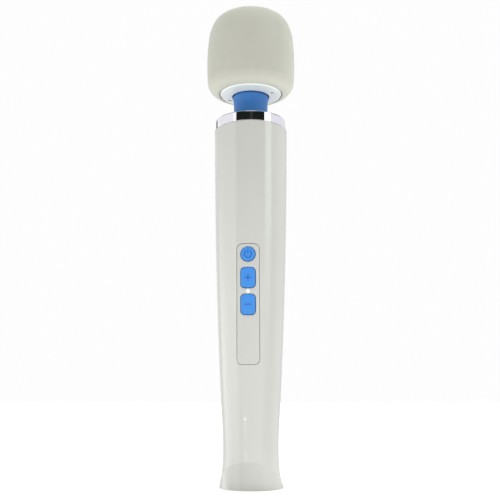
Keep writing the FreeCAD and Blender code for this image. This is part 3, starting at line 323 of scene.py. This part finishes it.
def lamp_plastic(name):
    """The clear pipe over the lit status lamp, so its end glows."""
    made = Material(name, (0.93, 0.96, 0.97), 0.12, Emission_Strength=1.1)
    made.shader.inputs["Emission Color"].default_value = (0.95, 1.0, 0.98, 1.0)
    made.vary_roughness(made.noise(0.0008, 3.0), 0.1, 0.2)
    made.bump(made.noise(0.0004, 2.0), 0.000004)
    return made


def make_materials():
    """One material for every material slot of the record."""
    black = (0.018, 0.018, 0.02)
    steel = (0.58, 0.58, 0.6)
    return {
        "shell_silver": gloss_plastic(
            "shell_silver", (0.64, 0.64, 0.596), Coat_Weight=0.5, Coat_Roughness=0.04),
        "panel_silver": gloss_plastic(
            "panel_silver", (0.625, 0.63, 0.59), Coat_Weight=0.5, Coat_Roughness=0.05),
        "key_blue": gloss_plastic("key_blue", (0.047, 0.29, 0.83), roughness=0.34, peel=0.000004),
        "lamp_clear": lamp_plastic("lamp_clear"),
        "lamp_white": matte_plastic("lamp_white", (0.85, 0.85, 0.74), 0.4),
        "plunger_black": matte_plastic("plunger_black", black, 0.42),
        "silicone_grey": silicone("silicone_grey", (0.624, 0.63, 0.54), 0.62, 0.12, 0.0012, 0.25),
        "silicone_blue": silicone("silicone_blue", (0.042, 0.20, 0.56), 0.5, 0.1, 0.0008, 0.12),
        "trim_chrome": chrome("trim_chrome", (0.93, 0.92, 0.96)),
        "collar_white": gloss_plastic("collar_white", (0.7, 0.7, 0.68), roughness=0.3),
        "plate_white": gloss_plastic("plate_white", (0.84, 0.88, 0.845), roughness=0.14, Coat_Weight=0.4),
        "mount_black": matte_plastic("mount_black", black, 0.5),
        "core_grey": matte_plastic("core_grey", (0.2, 0.2, 0.21), 0.5),
        "screw_steel": plated_metal("screw_steel", (0.36, 0.36, 0.38), 0.32),
        "shaft_steel": turned_metal("shaft_steel", steel, 0.16),
        "bearing_steel": turned_metal("bearing_steel", (0.66, 0.66, 0.68), 0.12, line=0.0001),
        "cage_brass": turned_metal("cage_brass", (0.72, 0.52, 0.22), 0.3),
        "weight_steel": turned_metal("weight_steel", (0.44, 0.44, 0.45), 0.34, line=0.0004, depth=0.00001),
        "spring_steel": plated_metal("spring_steel", (0.5, 0.5, 0.52), 0.26),
        "coupling_rubber": matte_plastic("coupling_rubber", (0.02, 0.02, 0.02), 0.7, 0.0005),
        "isolator_rubber": matte_plastic("isolator_rubber", (0.016, 0.016, 0.016), 0.75, 0.0006),
        "can_steel": plated_metal("can_steel", (0.55, 0.55, 0.57), 0.3),
        "end_cap_black": matte_plastic("end_cap_black", black, 0.45),
        "bush_bronze": turned_metal("bush_bronze", (0.5, 0.32, 0.14), 0.5, line=0.0002, depth=0.00001),
        "magnet_ferrite": matte_plastic("magnet_ferrite", (0.05, 0.05, 0.055), 0.6, 0.0002, 0.00002),
        "brush_carbon": matte_plastic("brush_carbon", (0.025, 0.025, 0.027), 0.38, 0.0002, 0.00001),
        "copper": wound_wire("copper", (0.78, 0.34, 0.15)),
        "core_steel": stacked_sheets("core_steel", (0.36, 0.36, 0.38)),
        "board_green": board_laminate("board_green", (0.012, 0.13, 0.045)),
        "chip_black": matte_plastic("chip_black", (0.015, 0.015, 0.016), 0.55, 0.0001, 0.000006),
        "switch_grey": matte_plastic("switch_grey", (0.09, 0.09, 0.1), 0.4),
        "capacitor_can": plated_metal("capacitor_can", (0.6, 0.6, 0.63), 0.22),
        "connector_white": matte_plastic("connector_white", (0.72, 0.69, 0.58), 0.45, 0.0004, 0.00001),
        "lead_black": sleeved_lead("lead_black", (0.02, 0.02, 0.02)),
        "lead_red": sleeved_lead("lead_red", (0.42, 0.02, 0.02)),
        "base_grey": matte_plastic("base_grey", (0.5, 0.505, 0.475), 0.42),
        "inlet_black": matte_plastic("inlet_black", black, 0.38),
        "contact_nickel": turned_metal("contact_nickel", (0.66, 0.62, 0.55), 0.14),
    }


def dress_cad_nodes(materials):
    slots = {part["node"]: part["material_slot"] for part in frame["record"]["subparts"]}
    for name, piece in NODES.items():
        for place in piece.material_slots:
            place.material = materials[slots[name]].data


# ---------------------------------------------------------------- mesh helpers

def finish_piece(name, mesh_builder, material, crease=35.0):
    """Turns a bmesh into a smooth-shaded object with sharp creases."""
    bmesh.ops.recalc_face_normals(mesh_builder, faces=mesh_builder.faces)
    mesh = bpy.data.meshes.new(name)
    mesh_builder.to_mesh(mesh)
    mesh_builder.free()
    mesh.shade_smooth()
    mesh.set_sharp_from_angle(angle=math.radians(crease))
    mesh.materials.append(material.data)
    piece = bpy.data.objects.new(name, mesh)
    bpy.context.scene.collection.objects.link(piece)
    return piece


def lathe(profile, segments):
    """A closed mesh turned about Z from a loop of (radius, height) points. A radius of 0 is one point."""
    builder = bmesh.new()
    rings = []
    for radius, height in profile:
        if radius < 1e-7:
            rings.append([builder.verts.new((0, 0, height))])
            continue
        angles = [TURN * k / segments for k in range(segments)]
        circle = [(radius * math.cos(a), radius * math.sin(a), height) for a in angles]
        rings.append([builder.verts.new(place) for place in circle])
    for i, ring in enumerate(rings):
        after = rings[(i + 1) % len(rings)]
        if len(ring) == 1 and len(after) == 1:
            continue
        for k in range(segments):
            following = (k + 1) % segments
            corners = [ring[k % len(ring)], ring[following % len(ring)]]
            corners += [after[following % len(after)], after[k % len(after)]]
            unique = list(dict.fromkeys(corners))
            builder.faces.new(unique)
    return builder


def arc_points(start, end, heading, count):
    """Points of an arc that leaves start along heading and passes through end, and its last heading."""
    dx, dz = end[0] - start[0], end[1] - start[1]
    chord = math.hypot(dx, dz)
    across = -math.sin(heading) * dx + math.cos(heading) * dz
    if abs(across) < 1e-9:
        straight = [(start[0] + dx * k / count, start[1] + dz * k / count) for k in range(1, count + 1)]
        return straight, heading
    radius = chord * chord / (2 * across)
    centre = (start[0] - math.sin(heading) * radius, start[1] + math.cos(heading) * radius)
    sweep = 2 * math.asin(max(-1.0, min(1.0, chord / (2 * abs(radius))))) * (1 if radius > 0 else -1)
    first = math.atan2(start[1] - centre[1], start[0] - centre[0])
    points = [
        (
            centre[0] + abs(radius) * math.cos(first + sweep * k / count),
            centre[1] + abs(radius) * math.sin(first + sweep * k / count),
        )
        for k in range(1, count + 1)
    ]
    return points, heading + sweep


def chain(corners, heading, spacing):
    """A smooth run of arcs through corners, each tangent to the one before."""
    points = [corners[0]]
    for start, end in zip(corners, corners[1:]):
        count = max(2, round(math.dist(start, end) / spacing))
        more, heading = arc_points(start, end, heading, count)
        points += more
    return points


def line(start, end, spacing):
    count = max(1, round(math.dist(start, end) / spacing))
    return [
        (start[0] + (end[0] - start[0]) * k / count, start[1] + (end[1] - start[1]) * k / count)
        for k in range(1, count + 1)
    ]


# ---------------------------------------------------------------- head

def make_head(materials):
    """The soft cover: a bulging drum, a gently domed crown and a full, soft edge round its underside."""
    low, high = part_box("head_cover")
    inner_low, inner_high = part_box("head_core")
    top, lip = high.z, low.z
    crown = (16.7 * MM, top - 1.45 * MM)
    crown_radius = (crown[0] ** 2 + (top - crown[1]) ** 2) / (2 * (top - crown[1]))
    spacing = 0.5 * MM
    outer = chain([(0.0, top), crown], 0.0, spacing)
    outer += chain(
        [
            crown,
            (26.4 * MM, top - 9.1 * MM),
            (29.15 * MM, top - 19.6 * MM),
            (29.6 * MM, top - 50.0 * MM),
            (22.3 * MM, lip + 0.02 * MM),
        ],
        -math.asin(crown[0] / crown_radius),
        spacing,
    )[1:]
    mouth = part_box("head_base_plate")[1].x + 0.4 * MM
    turn_in = math.atan2(outer[-1][1] - outer[-2][1], outer[-1][0] - outer[-2][0]) + TURN
    roll = chain([outer[-1], (mouth, lip + 0.3 * MM)], turn_in, 0.1 * MM)
    wall = inner_high.x + 0.15 * MM
    inside = line(roll[-1], (mouth, inner_low.z - 0.2 * MM), 0.8 * MM)
    inside += line(inside[-1], (wall, inner_low.z - 0.2 * MM), 1.0 * MM)
    inside += line(inside[-1], (wall, inner_high.z - 8.9 * MM), 3.0 * MM)
    inside += line(inside[-1], (16.1 * MM, inner_high.z + 0.2 * MM), 3.0 * MM)
    inside += [(0.0, inner_high.z + 0.2 * MM)]
    builder = lathe(outer + roll[1:] + inside, 240)

    # a low moulded ridge where the side turns under, and the slight unevenness of a soft moulding
    ridge_height, ridge_half, ridge_rise = lip + 5.4 * MM, 0.8 * MM, 0.14 * MM
    wobble_rate, wobble_rise, sink = 45.0, 0.05 * MM, 0.03 * MM
    builder.normal_update()
    for vertex in builder.verts:
        x, y, z = vertex.co
        radius = math.hypot(x, y)
        is_outside = (radius > 24.6 * MM and z > lip + 1.5 * MM) or z > inner_high.z + 2.0 * MM
        if not is_outside:
            continue
        wobble = noise.noise(Vector((x, y, z)) * wobble_rate) * wobble_rise
        ridge = ridge_rise * math.exp(-(((z - ridge_height) / ridge_half) ** 2))
        vertex.co += vertex.normal * (wobble + ridge - sink)
    piece = finish_piece("head_skin", builder, materials["silicone_grey"], 60.0)
    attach(piece, "head")
    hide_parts("head_cover")


# ---------------------------------------------------------------- neck

def neck_levels():
    """Heights at which the neck leaves the handle, is halfway, and meets the head."""
    low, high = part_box("neck_boot")
    middle = (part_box("trim_ring")[1].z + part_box("head_base_plate")[0].z) / 2
    return low.z + 8.5 * MM, middle, high.z - 6.0 * MM


def make_boot(materials):
    """The silicone boot in two halves, one from the handle up to halfway and one from halfway to the head."""
    low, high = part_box("neck_boot")
    leave, middle, meet = neck_levels()
    bore, flange, body, flare = 8.2 * MM, high.x, 11.5 * MM, 12.3 * MM
    flare_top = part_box("head_base_plate")[0].z - 0.95 * MM
    spacing = 0.6 * MM
    lower = [(bore, low.z), (flange, low.z)]
    lower += [(flange, low.z + 3.6 * MM), (flange - 0.2 * MM, low.z + 3.8 * MM)]
    lower += line(lower[-1], (body + 0.7 * MM, low.z + 3.8 * MM), spacing)
    lower += chain([lower[-1], (body + 0.1 * MM, low.z + 4.4 * MM)], math.pi, 0.1 * MM)[1:]
    lower += line(lower[-1], (body, middle), spacing)
    lower += line(lower[-1], (bore, middle), 1.0 * MM)
    lower += line(lower[-1], (bore, low.z + spacing), spacing)
    upper = [(bore, middle), (body, middle)]
    upper += chain([(body, middle), (flare, flare_top)], math.pi / 2, spacing)[1:]
    upper += chain([upper[-1], (flare - 0.25 * MM, flare_top + 0.25 * MM)], math.pi / 2, 0.08 * MM)[1:]
    upper += [(body - 0.1 * MM, flare_top + 0.25 * MM)]
    upper += line(upper[-1], (body - 0.1 * MM, high.z - 2.3 * MM), spacing)
    upper += [(flange, high.z - 2.3 * MM), (flange, high.z), (bore, high.z)]
    upper += line(upper[-1], (bore, middle + spacing), spacing)
    for name, profile, bodies, start, end in (
        ("neck_boot_lower", lower, ("handle", "neck"), leave, middle),
        ("neck_boot_upper", upper, ("neck", "head"), middle, meet),
    ):
        piece = finish_piece(name, lathe(profile, 160), materials["silicone_blue"], 50.0)
        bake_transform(piece)
        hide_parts("neck_boot")


def make_spring(materials):
    """The neck's steel spring, in two halves split at the boot's halfway height."""
    low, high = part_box("neck_spring")
    leave, middle, meet = neck_levels()
    wire, turns, steps, wire_sides = 0.9 * MM, 8, 44, 14
    coil = high.x - wire
    bottom, rise = low.z + wire, high.z - low.z - 2 * wire
    split = round(turns * steps * (middle - bottom) / rise)

    def half(first, last):
        builder = bmesh.new()
        rings = []
        for k in range(first, last + 1):
            angle = TURN * k / steps
            outward = Vector((math.cos(angle), math.sin(angle), 0))
            centre = outward * coil + Vector((0, 0, bottom + rise * k / (turns * steps)))
            rings.append([
                builder.verts.new(centre + (outward * math.cos(a) + Vector((0, 0, math.sin(a)))) * wire)
                for a in (TURN * j / wire_sides for j in range(wire_sides))
            ])
        for ring, after in zip(rings, rings[1:]):
            for j in range(wire_sides):
                following = (j + 1) % wire_sides
                builder.faces.new((ring[j], ring[following], after[following], after[j]))
        builder.faces.new(rings[0][::-1])
        builder.faces.new(rings[-1])
        return builder

    for name, first, last, bodies, start, end in (
        ("neck_spring_lower", 0, split, ("handle", "neck"), leave, middle),
        ("neck_spring_upper", split, turns * steps, ("neck", "head"), middle, meet),
    ):
        piece = finish_piece(name, half(first, last), materials["spring_steel"], 50.0)
        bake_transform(piece)
        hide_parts("neck_spring")


# ---------------------------------------------------------------- key symbols

SYMBOL_LINE = 0.6 * MM
SYMBOL_REACH = 2.07 * MM
SYMBOL_RING = 2.3 * MM

# the paint's back and front along Y, from the floor of the engraving
PAINT_BACK = 0.08 * MM
PAINT_FRONT = -0.11 * MM


def symbol_strips(name):
    """Centre lines of a key's symbol, about the key's centre."""
    half = SYMBOL_LINE / 2
    steps, ring_steps, post_steps = 8, 40, 4
    across = [(-SYMBOL_REACH + 2 * SYMBOL_REACH * k / steps, 0.0) for k in range(steps + 1)]
    if name == "minus":
        return [across]
    if name == "plus":
        above = [(0.0, half + (SYMBOL_REACH - half) * k / post_steps) for k in range(post_steps + 1)]
        below = [(0.0, -half - (SYMBOL_REACH - half) * k / post_steps) for k in range(post_steps + 1)]
        return [across, above, below]
    opening = math.radians(30)
    sweep = TURN - 2 * opening
    angles = [opening + sweep * k / ring_steps for k in range(ring_steps + 1)]
    ring = [(SYMBOL_RING * math.sin(angle), SYMBOL_RING * math.cos(angle)) for angle in angles]
    post = [(0.0, half + (SYMBOL_RING + half) * k / post_steps) for k in range(post_steps + 1)]
    return [ring, post]


def make_symbols(materials):
    """The darker paint in each key's engraved symbol."""
    paint = gloss_plastic("symbol_blue", (0.012, 0.125, 0.50), roughness=0.4, peel=0.000006)
    for name in ("power", "plus", "minus"):
        node = NODES[name + "_button"]
        low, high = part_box(name + "_button")
        centre = (low.z + high.z) / 2
        front = low.y - 2 * MM
        tree = BVHTree.FromPolygons(
            [vertex.co[:] for vertex in node.data.vertices],
            [face.vertices[:] for face in node.data.polygons],
        )
        builder = bmesh.new()
        for strip in symbol_strips(name):
            sections = []
            for i, (x, z) in enumerate(strip):
                before, after = strip[max(i - 1, 0)], strip[min(i + 1, len(strip) - 1)]
                along = Vector((after[0] - before[0], after[1] - before[1])).normalized()
                side = Vector((-along.y, along.x)) * SYMBOL_LINE / 2
                floor = tree.ray_cast(Vector((x, front, centre + z)), Vector((0, 1, 0)))[0].y
                section = []
                for sign, lift in ((-1, PAINT_FRONT), (1, PAINT_FRONT), (1, PAINT_BACK), (-1, PAINT_BACK)):
                    corner = (x + side.x * sign, floor + lift, centre + z + side.y * sign)
                    section.append(builder.verts.new(corner))
                sections.append(section)
            for first, second in zip(sections, sections[1:]):
                for j in range(4):
                    builder.faces.new((first[j], first[(j + 1) % 4], second[(j + 1) % 4], second[j]))
            builder.faces.new(sections[0][::-1])
            builder.faces.new(sections[-1])
        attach(finish_piece(name + "_symbol", builder, paint), name + "_key")


# ---------------------------------------------------------------- studio

# Light levels. Only the camera sees PLAIN. Glossy surfaces see the next four, matt ones TENT and BOUNCE.
PLAIN = 0.985
WALLS = 1.0
LOW_WALLS = 1.6
SOFT_BOX = 1.5
ROOF_BOX = 1.0
TENT = 2.3
BOUNCE = 2.0

# Reflector colours. GAP_LEFT and GAP_RIGHT are the slightly lighter middle of the dark gap, and LOW_LEFT is
# the level of the low glow on the left.
BLACK, WHITE, NIGHT = (0.0, 0.0, 0.0), (1.0, 1.0, 1.0), (0.011, 0.014, 0.012)
LEFT_WALL, RIGHT_WALL = (0.85, 0.845, 0.885), (0.81, 0.805, 0.86)
GAP_LEFT, GAP_RIGHT = (0.03, 0.045, 0.033), (0.03, 0.042, 0.03)
SOFT_BOX_TINT = (0.72, 1.0, 0.82)
LOW_LEFT = 0.95

# Shares of TENT that come from each side, where overhead is 1, and the tints of its left and right
LEFT, FRONT, RIGHT, BACK = 0.22, 0.02, 0.55, 0.1
WARM, COOL = (1.0, 0.99, 0.975), (0.985, 1.0, 0.985)

# Degrees above the horizon between which the dark edge behind begins, and the tent's sides turn to its top
EDGE_RISE = (18.6, 18.9)
TENT_RISE = (30, 60)

# The bounce card's share of BOUNCE, at millimetres from the middle of the foot. The low share near the foot
# is a painted contact shadow.
FLOOR_GLOW = ((0, 0.0), (16, 0.5), (25, 0.8), (100, 1.0))
FLOOR_HALF = 6.0
BOUNCE_DROP = 0.1 * MM

# The spark lamp: where its reflection is aimed, the way the handle faces there, and the lamp itself
SPARK_PLACE = Vector((-0.0018, -0.0175, 0.0285))
SPARK_NORMAL = Vector((-0.1, -1.0, 0.0)).normalized()
SPARK_DISTANCE = 0.15
SPARK_LENGTH, SPARK_WIDTH = 0.03, 0.0006
SPARK_POWER = 0.0022

DEGREE = math.radians(1)

# the colour sockets of a Mix node, which share their names with its number and vector sockets
MIX_FIRST, MIX_SECOND, MIX_RESULT = 6, 7, 2


def ramp_of(tree, source, stops, unit=DEGREE):
    """A colour ramp from stops of (position, colour), where position is in degrees or else in unit."""
    low, high = stops[0][0], stops[-1][0]
    turned = add(tree, "MapRange")
    turned.inputs["From Min"].default_value = low * unit
    turned.inputs["From Max"].default_value = high * unit
    tree.links.new(source, turned.inputs["Value"])
    ramp = add(tree, "ValToRGB")
    ramp.color_ramp.interpolation = "LINEAR"
    elements = ramp.color_ramp.elements
    while len(elements) < len(stops):
        elements.new(0.5)
    for element, (place, colour) in zip(elements, stops):
        element.position = (place - low) / (high - low)
        element.color = rgba(colour)
    tree.links.new(turned.outputs[0], ramp.inputs[0])
    return ramp.outputs[0]


def make_world():
    """A studio that three kinds of ray see differently. Glossy surfaces see reflectors: a dark gap in
    front, a tall soft box on its right, a narrow strip on its left, pale walls beyond, a low glow and a
    box overhead. Matt surfaces see a tent, bright above, dimmer at the sides and darkest in front. The
    camera sees plain white."""
    world = bpy.data.worlds.new("studio")
    bpy.context.scene.world = world
    # light sampling does not know the kind of ray, so it would light matt surfaces with the reflectors
    world.cycles.sampling_method = "NONE"
    tree = new_tree(world)
    direction = add(tree, "TexCoord").outputs["Generated"]
    parts = add(tree, "SeparateXYZ")
    tree.links.new(direction, parts.inputs[0])
    forwards = add(tree, "Math", operation="MULTIPLY")
    forwards.inputs[1].default_value = -1.0
    tree.links.new(parts.outputs["Y"], forwards.inputs[0])
    azimuth = add(tree, "Math", operation="ARCTAN2")
    tree.links.new(parts.outputs["X"], azimuth.inputs[0])
    tree.links.new(forwards.outputs[0], azimuth.inputs[1])
    elevation = add(tree, "Math", operation="ARCSINE")
    tree.links.new(parts.outputs["Z"], elevation.inputs[0])
    front = math.degrees(CAMERA_AZIMUTH)

    def around(first, stops, last):
        """Colour round the horizon. Stops are degrees to the right of the camera, and the ends are behind."""
        placed = [(angle + front, colour) for angle, colour in stops]
        return ramp_of(tree, azimuth.outputs[0], [(-180, first), *placed, (180, last)])

    def rising(first, stops, last):
        """Colours from straight down to straight up. The stops are degrees above the horizon."""
        return ramp_of(tree, elevation.outputs[0], [(-90, first), *stops, (90, last)])

    def times(first, second):
        node = add(tree, "Mix", data_type="RGBA", blend_type="MULTIPLY")
        node.inputs["Factor"].default_value = 1.0
        tree.links.new(first, node.inputs[MIX_FIRST])
        tree.links.new(second, node.inputs[MIX_SECOND])
        return node.outputs[MIX_RESULT]

    def stacked(below, above, start, stop):
        """One colour below an elevation and another above it, with a soft change between two angles."""
        factor = add(tree, "MapRange", interpolation_type="SMOOTHSTEP")
        factor.inputs["From Min"].default_value = start * DEGREE
        factor.inputs["From Max"].default_value = stop * DEGREE
        tree.links.new(elevation.outputs[0], factor.inputs["Value"])
        node = add(tree, "Mix", data_type="RGBA")
        tree.links.new(factor.outputs[0], node.inputs["Factor"])
        tree.links.new(below, node.inputs[MIX_FIRST])
        tree.links.new(above, node.inputs[MIX_SECOND])
        return node.outputs[MIX_RESULT]

    def light(colour, amount):
        node = add(tree, "Background", Strength=amount)
        tree.links.new(colour, node.inputs["Color"])
        return node.outputs[0]

    def both(first, second):
        node = add(tree, "AddShader")
        tree.links.new(first, node.inputs[0])
        tree.links.new(second, node.inputs[1])
        return node.outputs[0]

    def chosen(ray, otherwise, when):
        node = add(tree, "MixShader")
        tree.links.new(ray, node.inputs[0])
        tree.links.new(otherwise, node.inputs[1])
        tree.links.new(when, node.inputs[2])
        return node.outputs[0]

    walls = around(WHITE, [
        (-136, WHITE), (-132, LEFT_WALL), (-62, LEFT_WALL), (-60, WHITE), (-50, WHITE), (-48.5, NIGHT),
        (-4, NIGHT), (0, GAP_LEFT), (5, GAP_RIGHT), (8, NIGHT), (46, NIGHT), (47.5, WHITE), (68, WHITE),
        (70, RIGHT_WALL),
    ], RIGHT_WALL)
    edge = around(NIGHT, [(-150, NIGHT), (-146, WHITE), (170 - front, WHITE)], NIGHT)
    walls = stacked(walls, times(walls, edge), *EDGE_RISE)
    walls_rise = rising(grey(0.7), [
        (-25, grey(0.9)), (-8, grey(0.95)), (0, WHITE), (30, WHITE), (37, grey(0.08)),
    ], grey(0.05))
    lows = around(BLACK, [
        (-134, BLACK), (-120, grey(LOW_LEFT)), (-48.5, grey(LOW_LEFT)), (-46, WHITE), (46, WHITE),
        (48, BLACK),
    ], BLACK)
    lows_rise = rising(grey(0.3), [(-24, grey(0.3)), (-13, WHITE), (2, WHITE), (18, BLACK)], BLACK)
    box = around(BLACK, [(46.5, BLACK), (48, SOFT_BOX_TINT), (67, SOFT_BOX_TINT), (69, BLACK)], BLACK)
    box_rise = rising(BLACK, [(-2, BLACK), (12, WHITE), (32, WHITE), (36, BLACK)], BLACK)
    roof = around(BLACK, [(-30, BLACK), (-20, WHITE), (20, WHITE), (30, BLACK)], BLACK)
    roof_rise = rising(BLACK, [(38, BLACK), (44, WHITE), (75, WHITE), (85, BLACK)], BLACK)
    reflected = light(times(walls, walls_rise), WALLS)
    for colour, amount in (
        (times(lows, lows_rise), LOW_WALLS),
        (times(box, box_rise), SOFT_BOX),
        (times(roof, roof_rise), ROOF_BOX),
    ):
        reflected = both(reflected, light(colour, amount))

    left, right = scaled(WARM, LEFT), scaled(COOL, RIGHT)
    sides = around(grey(BACK), [
        (-140, grey(BACK)), (-110, left), (-60, left), (-35, grey(FRONT)), (35, grey(FRONT)), (60, right),
        (110, right), (140, grey(BACK)),
    ], grey(BACK))
    tent = light(stacked(sides, rising(WHITE, [], WHITE), *TENT_RISE), TENT)

    plain = add(tree, "Background", Strength=PLAIN)
    plain.inputs["Color"].default_value = rgba(WHITE)
    path = add(tree, "LightPath")
    lit = chosen(path.outputs["Is Diffuse Ray"], reflected, tent)
    seen = chosen(path.outputs["Is Camera Ray"], lit, plain.outputs[0])
    output = add(tree, "OutputWorld")
    tree.links.new(seen, output.inputs["Surface"])


def sheet(z):
    """A flat square that reaches FLOOR_HALF metres each way."""
    builder = bmesh.new()
    signs = ((-1, -1), (1, -1), (1, 1), (-1, 1))
    builder.faces.new([builder.verts.new((x * FLOOR_HALF, y * FLOOR_HALF, z)) for x, y in signs])
    return builder


def make_floor():
    """A plain pale floor that runs far back. The camera sees it, and it does not light the object."""
    paper = Material("floor_paper", (0.82, 0.82, 0.815), 0.9, Emission_Strength=0.2)
    paper.shader.inputs["Emission Color"].default_value = rgba(WHITE)
    paper.vary_colour(paper.noise(0.4, 3.0), 0.97, 1.03)
    paper.bump(paper.noise(0.002, 4.0), 0.00002)
    floor = finish_piece("floor", sheet(cad_low.z), paper)
    floor.visible_diffuse = False
    floor.visible_glossy = False


def make_bounce():
    """The floor as the object's matt surfaces see it: a painted contact shadow under the foot, and bright
    further out.
    """
    z = cad_low.z - BOUNCE_DROP
    card = Material("bounce_card", BLACK, 1.0, Emission_Strength=BOUNCE)
    from_foot = add(card.tree, "VectorMath", operation="DISTANCE")
    from_foot.inputs[1].default_value = (0.0, 0.0, z)
    card.link(card.place, from_foot.inputs[0])
    # the dark middle of the card's glow is a painted contact shadow under the foot
    stops = [(place, grey(level)) for place, level in FLOOR_GLOW]
    glow = ramp_of(card.tree, from_foot.outputs["Value"], stops, MM)
    card.link(glow, card.shader.inputs["Emission Color"])
    piece = finish_piece("bounce_card", sheet(z), card)
    piece.visible_camera = False
    piece.visible_glossy = False


def make_spark():
    """A small lamp that makes a bright point low on the handle, higher up than the photograph's."""
    heading = (SPARK_PLACE - bpy.context.scene.camera.location).normalized()
    away = heading - 2 * heading.dot(SPARK_NORMAL) * SPARK_NORMAL
    data = bpy.data.lights.new("spark", "AREA")
    data.shape = "RECTANGLE"
    data.size, data.size_y = SPARK_LENGTH, SPARK_WIDTH
    data.energy = SPARK_POWER
    lamp = bpy.data.objects.new("spark", data)
    lamp.location = SPARK_PLACE + away * SPARK_DISTANCE
    lamp.rotation_euler = (-away).to_track_quat("-Z", "Y").to_euler()
    lamp.visible_camera = False
    lamp.visible_diffuse = False
    bpy.context.scene.collection.objects.link(lamp)


def set_colours():
    """Plain colour, with no film curve."""
    bpy.context.scene.view_settings.view_transform = "Standard"


# ---------------------------------------------------------------- build

make_camera()
made_materials = make_materials()
dress_cad_nodes(made_materials)
make_head(made_materials)
make_boot(made_materials)
make_spring(made_materials)
make_symbols(made_materials)
make_world()
make_floor()
make_bounce()
make_spark()
set_colours()
